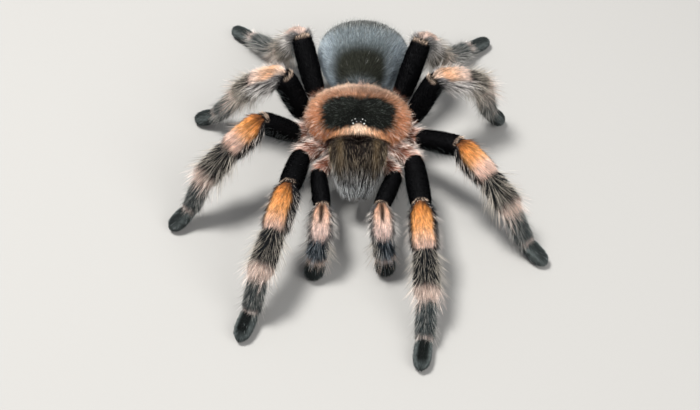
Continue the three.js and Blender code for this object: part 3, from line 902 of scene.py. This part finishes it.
# %% [markdown]
# ### The planting tree
# The tree has three parts. The first strews the roots and gives each hair its own tone. The
# second works out its way: along the lie, lifted off the skin, and a little astray, partly
# with its neighbours, so that locks form, and partly alone. The third plants the hairs.

# %% Inputs of the tree, and what it reads from the skin
CHANCES = {                    # kind, least, most and a salt that keeps the chances apart
    "tone": ("FLOAT", 0.0, 1.0, 11),
    "lift": ("FLOAT", -0.12, 0.16, 23),
    "way": ("FLOAT_VECTOR", (-0.6, -0.6, -0.4), (0.6, 0.6, 0.4), 37),
    "length": ("FLOAT", 0.0, 1.15, 51),
}


def planting_inputs(tree):
    for name, kind in (("Skin", "Geometry"), ("Region", "Int"), ("Hairs per mm2", "Float"),
                       ("Thickness", "Float"), ("Unruly", "Float"), ("Shortest", "Float"),
                       ("Seed", "Int"), ("Hair", "Object"), ("Finish", "Material")):
        tree.interface.new_socket(name, in_out="INPUT", socket_type=f"NodeSocket{kind}")
    tree.interface.new_socket("Coat", in_out="OUTPUT", socket_type="NodeSocketGeometry")
    given = {s.name: s for s in tree.nodes.new("NodeGroupInput").outputs}
    read = {name: add(tree, "GeometryNodeInputNamedAttribute", {0: name}, data_type=kind)
            for name, kind in (("region", "INT"), ("amount", "FLOAT"), ("lift", "FLOAT"),
                               ("reach", "FLOAT"), ("lie", "FLOAT_VECTOR"),
                               ("root_place", "FLOAT_VECTOR"), ("spot", "FLOAT_VECTOR"))}
    chance = {}
    for name, (kind, least, most, salt) in CHANCES.items():
        seed = add(tree, MATH, {0: given["Seed"], 1: salt}, operation="ADD")
        least = given["Shortest"] if name == "length" else least
        chance[name] = add(tree, "FunctionNodeRandomValue", {0: least, 1: most, "Seed": seed},
                           data_type=kind)
    return given, read, chance


# %% Roots and ways
LOCKS_PER_MM = 2.0             # of one tone; the locks that lean one way are twice as broad
LEANS_PER_MM = 0.9


def strew_roots(tree, given, read, chance):
    """Roots on the chosen region, each with the tone of its hair, and the skin's normals."""
    chosen = add(tree, "FunctionNodeCompare", {0: read["region"], 1: given["Region"]},
                 data_type="INT", operation="EQUAL")
    density = add(tree, MATH, {0: given["Hairs per mm2"], 1: read["amount"]},
                  operation="MULTIPLY")
    roots = add(tree, "GeometryNodeDistributePointsOnFaces",
                {"Mesh": given["Skin"], "Selection": chosen, "Density": density,
                 "Seed": given["Seed"]})
    where = add(tree, "GeometryNodeInputPosition")
    lock = add(tree, NOISE, {"Vector": where, "Scale": LOCKS_PER_MM, "Detail": 1.0})
    lock = add(tree, MATH, {0: lock, 1: 0.38}, operation="SUBTRACT")
    lock = add(tree, MATH, {0: lock, 1: 1.7}, operation="MULTIPLY")
    alone = add(tree, MATH, {0: chance["tone"], 1: 0.6}, operation="MULTIPLY")
    tone = add(tree, MATH, {0: alone, 1: lock}, operation="ADD")
    toned = add(tree, STORE, {0: roots, 2: "shade", 3: tone}, data_type="FLOAT", domain="POINT")
    return toned, roots.node.outputs["Normal"]


def way_of_hair(tree, given, read, chance, outward):
    """The turn of each hair, whose own length runs up Z."""
    lift = add(tree, MATH, {0: read["lift"], 1: chance["lift"]}, operation="ADD")
    cosine, sine = (add(tree, MATH, {0: lift}, operation=wave) for wave in ("COSINE", "SINE"))
    along = add(tree, VECTOR_MATH, {0: read["lie"], "Scale": cosine}, operation="SCALE")
    away = add(tree, VECTOR_MATH, {0: outward, "Scale": sine}, operation="SCALE")
    way = add(tree, VECTOR_MATH, {0: along, 1: away}, operation="ADD")
    where = add(tree, "GeometryNodeInputPosition")
    lean = add(tree, NOISE, {"Vector": where, "Scale": LEANS_PER_MM, "Detail": 1.0}, out=1)
    lean = add(tree, VECTOR_MATH, {0: lean, 1: (0.5, 0.5, 0.5)}, operation="SUBTRACT")
    lean = add(tree, VECTOR_MATH, {0: lean, "Scale": 3.0}, operation="SCALE")
    stray = add(tree, VECTOR_MATH, {0: lean, 1: chance["way"]}, operation="ADD")
    stray = add(tree, VECTOR_MATH, {0: stray, "Scale": given["Unruly"]}, operation="SCALE")
    way = add(tree, VECTOR_MATH, {0: way, 1: stray}, operation="ADD")
    way = add(tree, VECTOR_MATH, {0: way}, operation="NORMALIZE")
    return add(tree, "FunctionNodeAxesToRotation", {0: way, 1: outward},
               primary_axis="Z", secondary_axis="X")


# %% The whole tree
OFBAKE_PATCH = 0.003           # side of the patch that holds one hair's colour


def planting_tree():
    tree = bpy.data.node_groups.new("plant hairs", "GeometryNodeTree")
    given, read, chance = planting_inputs(tree)
    roots, outward = strew_roots(tree, given, read, chance)
    turn = way_of_hair(tree, given, read, chance, outward)
    length = add(tree, MATH, {0: read["reach"], 1: chance["length"]}, operation="MULTIPLY")
    size = add(tree, "ShaderNodeCombineXYZ",
               {0: given["Thickness"], 1: given["Thickness"], 2: length})
    template = add(tree, "GeometryNodeObjectInfo", {0: given["Hair"]}, out=-1)
    copies = add(tree, "GeometryNodeInstanceOnPoints", {0: roots, 2: template,
                                                        "Rotation": turn, "Scale": size})
    real = add(tree, "GeometryNodeRealizeInstances", {0: copies})
    patch = add(tree, VECTOR_MATH, {0: read["spot"], "Scale": OFBAKE_PATCH}, operation="SCALE")
    place = add(tree, VECTOR_MATH, {0: read["root_place"], 1: patch}, operation="ADD")
    mapped = add(tree, STORE, {0: real, 2: "OFBake", 3: place},
                 data_type="FLOAT2", domain="CORNER")
    done = add(tree, "GeometryNodeSetMaterial", {0: mapped, 2: given["Finish"]})
    tree.links.new(done, tree.nodes.new("NodeGroupOutput").inputs[0])
    return tree


PLANT = planting_tree()
print("planting tree:", len(PLANT.nodes), "nodes")

# %% [markdown]
# ### Regions and their unwrap
# The coat is planted region by region, so that no piece grows too large. Each part of the skin
# also has its own tile of an unwrap, with `v` across and `u` up it. A hair's whole colour is
# kept in a tiny patch of that unwrap, at the place of its root.

# %% Regions of the skin
REGIONS = {                    # region: the kinds of part in it, and its material slot
    "shield": (("shield", "core", "eye_mound"), "carapace_velour"),
    "abdomen": (("abdomen", "spinneret"), "slate_coat"),
    "jaws": (("chelicera",), "brown_coat"),
    "hips": (("coxa", "trochanter", "sternum"), "joint_skin"),
    "thighs": (("femur",), "black_velvet"),
    "knees": (("patella",), "flame_coat"),
    "shins": (("tibia",), "grey_coat"),
    "feet": (("metatarsus", "tarsus"), "slate_coat"),
}
region_of_kind = {kind: number for number, (kinds, _) in enumerate(REGIONS.values())
                  for kind in kinds}
region_of_part = np.array([region_of_kind[kind] for _, kind, _, _ in parts])
tiles = np.array([(region_of_part[:k] == region).sum()
                  for k, region in enumerate(region_of_part)])
tile_counts = np.bincount(region_of_part)


def unwrap_corners():
    """The unwrap of every corner of the skin's faces, and the region of every face."""
    corners = np.empty(len(skin_mesh.loops), int)
    skin_mesh.loops.foreach_get("vertex_index", corners)
    corners = corners.reshape(-1, 4)
    first = corners[:, 0]
    face_part = part_of[first]
    same = part_of[corners] == face_part[:, None]
    cu = np.where(same, u[corners], u[first][:, None])
    cv = np.where(same, v[corners], v[first][:, None])
    for number, (name, kind, start, end) in enumerate(parts):
        if kind in SEGMENTS:
            mine = face_part == number
            cu[mine], cv[mine] = along_and_round(place[corners[mine]], start, end)
    cv = np.where(cv - cv[:, :1] > 1, cv - 2, np.where(cv - cv[:, :1] < -1, cv + 2, cv))
    rows = np.ceil(np.sqrt(tile_counts[region_of_part[face_part]])).astype(int)
    tile = tiles[face_part]
    across = (tile % rows)[:, None] + 0.5 + 0.46 * cv
    upward = (tile // rows)[:, None] + 0.06 + 0.88 * np.clip(cu, -0.05, 1.05)
    return np.stack([across, upward], axis=-1) / rows[:, None, None], region_of_part[face_part]


corner_places, face_regions = unwrap_corners()
print({name: int((face_regions == k).sum()) for k, name in enumerate(REGIONS)}, "faces")


def put(name, values, kind="FLOAT", domain="POINT"):
    """Lays a named value into the skin."""
    layer = skin_mesh.attributes.get(name) or skin_mesh.attributes.new(name, kind, domain)
    field = {"FLOAT": "value", "INT": "value", "FLOAT_COLOR": "color"}.get(kind, "vector")
    if kind == "FLOAT_COLOR":
        values = np.concatenate([values, np.ones((len(values), 1))], axis=1)
    dtype = np.int32 if kind == "INT" else np.float32
    layer.data.foreach_set(field, np.ascontiguousarray(values, dtype).ravel())


put("region", face_regions, "INT", "FACE")
put("root_place", corner_places, "FLOAT2", "CORNER")
put("lie", lie, "FLOAT_VECTOR")
put("skin_colour", np.clip(skin_colour, 0, 1), "FLOAT_COLOR")

# %% [markdown]
# ### How much hair, and how long
# One row a kind: hairs to the square millimetre, length in millimetres, and the angle that they
# stand off the skin, for the short coat and then for the long hairs that stand through it.

# %% Coat by kind
COAT = {
    "coxa": ((18, 1.6, 20), (6.5, 3.2, 26)),
    "trochanter": ((20, 1.4, 22), (5.5, 2.8, 30)),
    "femur": ((22, 0.75, 32), (0.9, 2.6, 30)),
    "patella": ((28, 1.30, 15), (5.0, 3.2, 34)),
    "tibia": ((24, 1.9, 19), (4.8, 4.4, 31)),
    "metatarsus": ((24, 1.7, 19), (4.5, 3.3, 30)),
    "tarsus": ((32, 0.85, 28), (3.0, 1.4, 34)),
    "shield": ((44, 1.3, 22), (3.0, 1.9, 30)),
    "core": ((8, 0.8, 24), (2.0, 2.2, 30)),
    "eye_mound": ((26, 0.4, 30), (0.4, 0.6, 50)),
    "sternum": ((14, 0.6, 26), (1.2, 1.4, 36)),
    "abdomen": ((24, 1.35, 22), (2.9, 2.8, 25)),
    "spinneret": ((24, 0.6, 28), (3.0, 1.1, 36)),
    "chelicera": ((34, 1.5, 12), (6.5, 3.8, 12)),
}


rows_of_points = np.array([COAT[kind] for kind in kind_of], float)     # point, layer, column
amounts, reaches, degrees = ([rows_of_points[:, layer, column].copy() for layer in (0, 1)]
                             for column in (0, 1, 2))
lifts = [np.radians(angle) for angle in degrees]


def scale(values, where, factor):
    """Multiplies the values of some points."""
    values[where] *= np.broadcast_to(factor, values.shape)[where]


# %% [markdown]
# ### Where the coat differs
# The table gives an even coat, but real hair changes along each part. These rules multiply the
# amounts, the lengths and the angles, of the short coat [0] or of the bristles [1].

# %% Changes to the coat of the limbs
# Knees and shins: few and short bristles on the coloured tops, long and lifted on the flanks.
scale(amounts[1], patellae, 0.30 + 0.70 * off_top)
scale(reaches[0], patellae, 1 + 0.5 * off_top + 0.4 * ease(u, 0.6, 0.9))
scale(lifts[0], patellae, 1 + 0.8 * off_top)
scale(reaches[1], patellae, (0.42 + 0.58 * off_top) * (0.35 + 0.65 * ease(u, 0.02, 0.2)))
scale(reaches[1], tibiae | metatarsi, 0.75 + 0.25 * ease(around, 0.1, 0.5))
scale(lifts[1], patellae | tibiae | metatarsi, 1 + 0.18 * ease(around, 0.15, 0.4))
# The rear legs and the palps are shaggier, and so are the second legs' knees and shins.
scale(amounts[1], rear_legs & (patellae | tibiae | metatarsi), 1.7)
scale(reaches[1], rear_legs & (patellae | tibiae), 1.35)
scale(amounts[1], palps & patellae, 1.6)
for layer, longer in ((0, 1.35), (1, 1.25)):
    scale(reaches[layer], second_legs & (patellae | tibiae), longer)
# The pads are shorn on top.
scale(reaches[0], tarsi, np.where(palps, 1.3, 0.75 + 0.25 * ease(around, 0.3, 0.6)))
scale(reaches[1], palps & tarsi, 1.3)
scale(amounts[1], tarsi, 0.15 + 0.85 * ease(around, 0.3, 0.6))
# The thighs are bare of bristles above and bearded below, with a thick rim of hair at the knee.
scale(amounts[1], femora, 0.04 + 5.2 * ease(around, 0.42, 0.66))
scale(reaches[1], femora, 1 - 0.5 * rim_hairs)
scale(amounts[1], femora, 1 - 0.9 * rim_hairs)
scale(amounts[0], femora, 1 - 0.3 * rim_hairs)
scale(reaches[0], femora, 1 + 0.5 * rim_hairs)
scale(lifts[0], femora, 1 + 0.7 * rim_hairs)
scale(amounts[1], hips, (0.4 + 1.2 * ease(u, 0.2, 0.8)) * rear_dark)
scale(reaches[1], hips, 0.4 + 0.6 * rear_dark)
print("bristles to the mm2 on the limbs, at most", round(float(amounts[1].max()), 1))

# %% Changes to the coat of the body
# Shield: a fringe of long hair round the rim, none on the brow.
edge = ease(rim, 0.80, 1.0) * (1 - band)
scale(amounts[1], on_shield, (0.5 + 2.0 * edge + 0.8 * patch) * (1 - 0.6 * band))
scale(reaches[1], on_shield, (0.60 + 0.6 * edge) * (1 - 0.35 * band))
scale(reaches[0], on_shield, 1 + 0.35 * edge - 0.25 * patch - 0.1 * band + 0.25 * rear_tuft)
# Abdomen: silver bristles that grow longer and denser towards the rear, few on the saddle.
scale(amounts[1], rear_body, (0.35 + 1.0 * behind) * (1 - 0.7 * np.clip(saddle, 0, 1)))
scale(reaches[1], rear_body, 0.60 + 0.40 * behind)
# Jaws: combed flat at the root, long and loose below, flared at the outer corners.
scale(reaches[1], on_jaws, (0.35 + 0.50 * ease(u, 0.2, 0.6)) * (1 - 0.40 * ease(u, 0.72, 0.95)))
scale(reaches[0], on_jaws, 1 - 0.55 * ease(u, 0.60, 0.85))
scale(lifts[1], on_jaws, 1 + 1.2 * ease(x_out, 4.0, 5.4) * ease(u, 0.3, 0.6))
scale(amounts[1], on_jaws, 0.85 + 0.25 * frost)
# Hair is shorter where it would meet the floor.
near_floor = ease(2.5 - place[:, 2], 0.0, 2.0)
reaches[1] *= 1 - 0.6 * near_floor
scale(reaches[0], tarsi, 1 - 0.4 * near_floor)
print("longest bristle in mm", round(float(reaches[1].max()), 1))

# %% [markdown]
# ### Finish of the hair
# A seta is clear horn, coloured in its depth, a little darker at the root and paler at the
# tip, and no two have the same tone. The colour is the marking's; the rest is worked out from
# the height along the hair and a chance value for each.

# %% Hair and skin finishes


def finish(name, roughness, specular, colour=None):
    """A material, its tree and its surface, which has one colour or gets it from the tree."""
    material = bpy.data.materials.new(name)
    material.use_nodes = True
    surface = material.node_tree.nodes["Principled BSDF"]
    surface.inputs["Roughness"].default_value = roughness
    surface.inputs["Specular IOR Level"].default_value = specular
    if colour:
        surface.inputs["Base Color"].default_value = (*linear(colour), 1)
    return material, material.node_tree, surface


def tint(tree, surface, name, tone):
    """Gives a surface the colour laid into its mesh, lighter or darker by a tone."""
    laid = add(tree, "ShaderNodeAttribute", attribute_name=name)
    colour = add(tree, VECTOR_MATH, {0: laid, "Scale": tone}, operation="SCALE")
    tree.links.new(colour, surface.inputs["Base Color"])


FAC = 2                        # the attribute node's output for a single value


def seta_finish(name, tips, tones, roughness, specular):
    """Horn-clear hair: how bright its root and tip are, and how much hairs differ."""
    material, tree, surface = finish(name, roughness, specular)
    both = []
    for name, (least, most) in (("tipness", tips), ("shade", tones)):
        laid = add(tree, "ShaderNodeAttribute", out=FAC, attribute_name=name)
        both.append(add(tree, "ShaderNodeMapRange", {0: laid, 3: least, 4: most}))
    tone = add(tree, MATH, dict(enumerate(both)), operation="MULTIPLY")
    tint(tree, surface, "coat_colour", tone)
    return material


SETAE = {
    "velvet": seta_finish("setae_velvet", (0.6, 1.2), (0.45, 1.55), 0.7, 0.12),
    "jet": seta_finish("setae_jet", (0.8, 1.2), (0.6, 1.4), 0.9, 0.0),
    "bristle": seta_finish("setae_bristle", (0.75, 1.15), (0.2, 1.5), 0.5, 0.2),
    "jaw": seta_finish("setae_of_jaws", (0.7, 1.2), (0.2, 1.9), 0.5, 0.15),
}


PITS_PER_MM = 4.0              # hair sockets, drawn a little coarser than they are
MOTTLES_PER_MM = 0.9


def cuticle():
    """The skin between the hairs: matt cuticle, pricked all over by the hair sockets."""
    material, tree, surface = finish("cuticle_pitted", 0.75, 0.10)
    where = add(tree, "ShaderNodeTexCoord").node.outputs["Object"]
    mottle = add(tree, NOISE, {"Vector": where, "Scale": MOTTLES_PER_MM / MM, "Detail": 4.0})
    tone = add(tree, "ShaderNodeMapRange", {0: mottle, 1: 0.3, 2: 0.7, 3: 0.8, 4: 1.15})
    tint(tree, surface, "skin_colour", tone)
    sockets = add(tree, "ShaderNodeTexVoronoi", {"Vector": where, "Scale": PITS_PER_MM / MM})
    bump = add(tree, "ShaderNodeBump", {"Strength": 0.5, "Distance": 0.05 * MM,
                                        "Height": sockets})
    tree.links.new(bump, surface.inputs["Normal"])
    return material


CUTICLE = cuticle()
print("finishes of hair:", sorted(SETAE))

# %% [markdown]
# ### Planting
# Each region is planted twice, with short hair and with long. What comes out is plain mesh.
# Hair that would reach through the floor is pressed flat on it, as under a real foot.

# %% Plant every region
SCAFFOLD = ("lie", "reach", "lift", "amount", "region", "root_place")    # not kept on a piece
SOCKETS = {item.name: item.identifier for item in PLANT.interface.items_tree
           if item.in_out == "INPUT"}
host = bpy.data.objects.new("host", skin_mesh)
bpy.context.scene.collection.objects.link(host)


def planted(name, region, thickness, unruly, shortest, seed, template, material):
    planter = host.modifiers.new("plant", "NODES")
    planter.node_group = PLANT
    values = {"Region": region, "Hairs per mm2": 1.0, "Thickness": thickness, "Unruly": unruly,
              "Shortest": shortest, "Seed": seed, "Hair": template, "Finish": material}
    for key, value in values.items():
        planter[SOCKETS[key]] = value
    mesh = evaluated(host)
    host.modifiers.remove(planter)
    mesh.name = name
    spots = vertex_array(mesh, "co")
    spots[:, 2] = np.maximum(spots[:, 2], SOLE)
    mesh.vertices.foreach_set("co", (spots * MM).astype(np.float32).ravel())
    for layer in [a.name for a in mesh.attributes]:
        if layer in SCAFFOLD or layer in ("spot", "skin_colour"):
            mesh.attributes.remove(mesh.attributes[layer])
    mesh.update()
    print(f"{name}: {len(mesh.polygons)} triangles")
    return mesh


def set_layer(layer, colour):
    """Lays the amounts, lengths, angles and colours of one layer of hair into the skin."""
    put("amount", amounts[layer])
    put("reach", reaches[layer])
    put("lift", lifts[layer])
    put("coat_colour", np.clip(colour, 0, 1), "FLOAT_COLOR")


def keep(name, mesh, slot, *nodes):
    """A finished piece: linked, riding on the body, with the nodes it stands for. Its slot is not
    used.
    """
    piece = bpy.data.objects.new(name, mesh)
    bpy.context.scene.collection.objects.link(piece)
    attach(piece, BODY)
    if nodes:
        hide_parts(*nodes)
    return piece


# region: the hair, its finish and how unruly it is, for the short coat and for the bristles
GROOMING = {
    "shield": ((SHORT_HAIR, "velvet", 0.20), (LONG_HAIR, "bristle", 0.24)),
    "abdomen": ((SHORT_HAIR, "velvet", 0.18), (LONG_HAIR, "bristle", 0.16)),
    "jaws": ((FINE_HAIR, "jaw", 0.05), (LONG_HAIR, "jaw", 0.03)),
    "hips": ((SHORT_HAIR, "velvet", 0.24), (LONG_HAIR, "bristle", 0.26)),
    "thighs": ((SHORT_HAIR, "jet", 0.16), (LONG_HAIR, "bristle", 0.20)),
    "knees": ((SHORT_HAIR, "velvet", 0.10), (LONG_HAIR, "bristle", 0.15)),
    "shins": ((SHORT_HAIR, "velvet", 0.12), (LONG_HAIR, "bristle", 0.13)),
    "feet": ((SHORT_HAIR, "velvet", 0.12), (LONG_HAIR, "bristle", 0.13)),
}
# name, colours, half the thickness at the root in mm, the shortest hair's share of the length
# and the first seed of each layer
LAYERS = (("coat", hair_colour, 0.048, 0.6, 100), ("bristles", long_colour, 0.029, 0.35, 200))

for layer, (prefix, colours, thickness, shortest, seed) in enumerate(LAYERS):
    set_layer(layer, colours)
    for number, (region, styles) in enumerate(GROOMING.items()):
        template, finish_name, unruly = styles[layer]
        mesh = planted(f"{prefix}_{region}", number, thickness, unruly, shortest, seed + number,
                       template, SETAE[finish_name])
        keep(mesh.name, mesh, REGIONS[region][1])
bpy.data.objects.remove(host)

# %% [markdown]
# ### The skin itself
# The melted skin has done its work as the bed of the coat and now becomes a piece of its own.
# It stands for every solid of flesh, so that no seam between two of them can show.

# %% The skin itself
skin_mesh.vertices.foreach_set("co", (place * MM).astype(np.float32).ravel())
for layer in (*SCAFFOLD, "coat_colour"):
    skin_mesh.attributes.remove(skin_mesh.attributes[layer])
skin_mesh.polygons.foreach_set("use_smooth", np.ones(len(skin_mesh.polygons), bool))
skin_mesh.materials.clear()
skin_mesh.materials.append(CUTICLE)
FLESH = [name for name in frame["nodes"] if not name.startswith(("fang", "eye"))]
keep("skin", skin_mesh, "black_velvet", *FLESH)
print("the skin stands for", len(FLESH), "solids")

# %% [markdown]
# ## Eyes
# Eight small eyes crowd on the mound: a round dark pair that looks ahead, an oval pair at the
# front corners, and two smaller pairs behind. The outer six are pearly, as night eyes are, and
# their pale colour is also a painted highlight that stands in for their glints.

# %% Eyes
CORNEA_HEIGHT, CORNEA_ROOT = 0.75, 0.6      # above and in the skin, as shares of the radius
DARK_EYES = [(0.30, 0.55, 0.78, 0.24, 1.0)]      # across, ahead, up, radius, stretch
PEARLY_EYES_PAINTED_GLINT = [(0.78, 0.62, 0.40, 0.19, 1.2), (0.95, -0.45, 0.34, 0.18, 1.2),
               (0.50, -0.30, 0.82, 0.15, 1.1)]


def dome(centre, out, radius, stretch, rows=8, cols=20):
    """A rounded cap that stands on the skin, closed underneath."""
    side = unit(np.cross([0, 0, 1.0], out))
    up = np.cross(out, side)
    tall = radius * CORNEA_HEIGHT
    height = np.linspace(0, math.pi / 2, rows, endpoint=False)
    wide = radius * np.cos(height)
    return tube(centre + np.outer(tall * np.sin(height), out), np.tile(side, (rows, 1)),
                np.tile(up, (rows, 1)), wide * stretch, wide, cols,
                (centre - out * radius * CORNEA_ROOT, centre + out * tall))


def joined(name, shells, material):
    """One smooth mesh of many closed shells."""
    points, faces, base = [], [], 0
    for shell_points, shell_faces in shells:
        points.append(shell_points)
        faces.append(shell_faces + base)
        base += len(shell_points)
    mesh = mesh_from(name, np.concatenate(points) * MM, np.concatenate(faces))
    mesh.polygons.foreach_set("use_smooth", np.ones(len(mesh.polygons), bool))
    mesh.materials.append(material)
    return mesh


def pairs_of(eyes):
    """Each eye and its mirror image, set on the eye mound."""
    shells = []
    at, half = (np.array(EYE_MOUND[key], float) for key in ("at", "half"))
    for x, y, z, radius, stretch in eyes:
        for sign in (1, -1):
            way = unit([sign * x, -y, z])
            centre = from_body(at + way * half)
            out = turned(unit(way / half))
            shells.append(dome(centre, out, radius, stretch))
    return shells


def cornea(name, colour):
    """Wet-looking clear horn over the colour of the eye."""
    material, _, surface = finish(name, 0.06, 0.6, colour)
    surface.inputs["Coat Weight"].default_value = 1.0
    surface.inputs["Coat Roughness"].default_value = 0.03
    return material


eyes = joined("eyes", pairs_of(DARK_EYES), cornea("dark_cornea", "#1a1411"))
keep("eyes", eyes, "eye_glass", "eye_mound")
# Pearly as night eyes are, and pale enough to be partly painted highlight in place of glints.
pearly = joined("eyes_pearly", pairs_of(PEARLY_EYES_PAINTED_GLINT), cornea("pearly_cornea", "#9c9e99"))
keep("eyes_pearly", pearly, "eye_glass")
print("eyes:", 2 * len(DARK_EYES), "dark,", 2 * len(PEARLY_EYES_PAINTED_GLINT), "pearly")

# %% [markdown]
# ## Fangs and claws
# The fangs fold back under the jaws, black and polished. Two small claws hide in the pad at
# each foot's tip.

# %% Fangs and claws
CLAW_RADIUS = 0.11


def horn_shell(line, radii, around=14):
    """A tapering horn along a line."""
    line = np.asarray(line, float)
    along = unit(np.gradient(line, axis=0))
    side = unit(np.cross(along, [1.0, 0.1, 0.0]))
    return tube(line, side, np.cross(along, side), radii, radii, around)


def fang(side_name):
    """The solid's own line and girth, drawn out to a finer point."""
    before_jaws = from_body([0, -20.0, -7.5])
    loops = ordered_from(before_jaws, loops_of(f"fang_{side_name}"))[1:-1]
    line = smoothed([loop.mean(axis=0) for loop in loops], 24)
    radii = smoothed([[radius_of(loop)] for loop in loops], 24)[:, 0]
    radii[-8:] *= np.linspace(1, 0.25, 8)
    return horn_shell(line, radii)


def claws_of(limb):
    """Two curved claws beside each other in the tip of a foot."""
    joints, girths = chains[limb]
    along = unit(joints[-1] - joints[-2])
    side, top = side_and_top(along)
    shells = []
    for sign in (1, -1):
        root = joints[-1] - along * 0.5 + side * sign * 0.3 - top * 0.25 * girths[-1]
        bend = np.linspace(0, 1.25, 12)[:, None]
        line = root + along * 0.62 * np.sin(bend) - top * 0.6 * (1 - np.cos(bend))
        line[:, 2] = np.maximum(line[:, 2], CLAW_RADIUS + 0.01)
        shells.append(horn_shell(line, np.linspace(CLAW_RADIUS, 0.02, 12), 8))
    return shells


HORN = finish("fang_horn", 0.18, 0.5, "#120c0a")[0]
fangs = joined("fangs", [fang("left"), fang("right")], HORN)
keep("fangs", fangs, "fang_horn", "fang_left", "fang_right")
claws = joined("claws", [shell for limb in LIMBS for shell in claws_of(limb)], HORN)
keep("claws", claws, "fang_horn")
print("two fangs,", 2 * len(LIMBS), "claws")

# %% [markdown]
# ## Floor and light
# A pale floor, a broad soft light from the upper left, a weaker one from the right, and a
# bright sky all round: the plain light of a studio table.

# %% Stage


def lay_floor(half):
    """A square of paper, in metres."""
    corners = [(-half, -half, 0), (half, -half, 0), (half, half, 0), (-half, half, 0)]
    mesh = mesh_from("floor", np.array(corners), np.array([[0, 1, 2, 3]]))
    mesh.materials.append(finish("matt_paper", 0.8, 0.2, "#918f8b")[0])
    floor = bpy.data.objects.new("floor", mesh)
    bpy.context.scene.collection.objects.link(floor)


def area_light(name, at, size, watts):
    """A round lamp that looks at the middle of the floor."""
    light = bpy.data.lights.new(name, "AREA")
    light.shape = "DISK"
    light.size = size
    light.energy = watts
    lamp = bpy.data.objects.new(name, light)
    lamp.location = at
    lamp.rotation_euler = Vector(at).to_track_quat("Z", "Y").to_euler()
    bpy.context.scene.collection.objects.link(lamp)


lay_floor(3.0)
area_light("key_light", (-0.20, 0.04, 0.56), 0.16, 7.0)
area_light("fill_light", (0.34, -0.36, 0.42), 0.50, 3.5)
world = bpy.data.worlds.new("studio")
bpy.context.scene.world = world
world.use_nodes = True
sky = world.node_tree.nodes.get("Background") or world.node_tree.nodes.new("ShaderNodeBackground")
sky.inputs["Color"].default_value = (0.9, 0.93, 1.0, 1)
sky.inputs["Strength"].default_value = 0.55
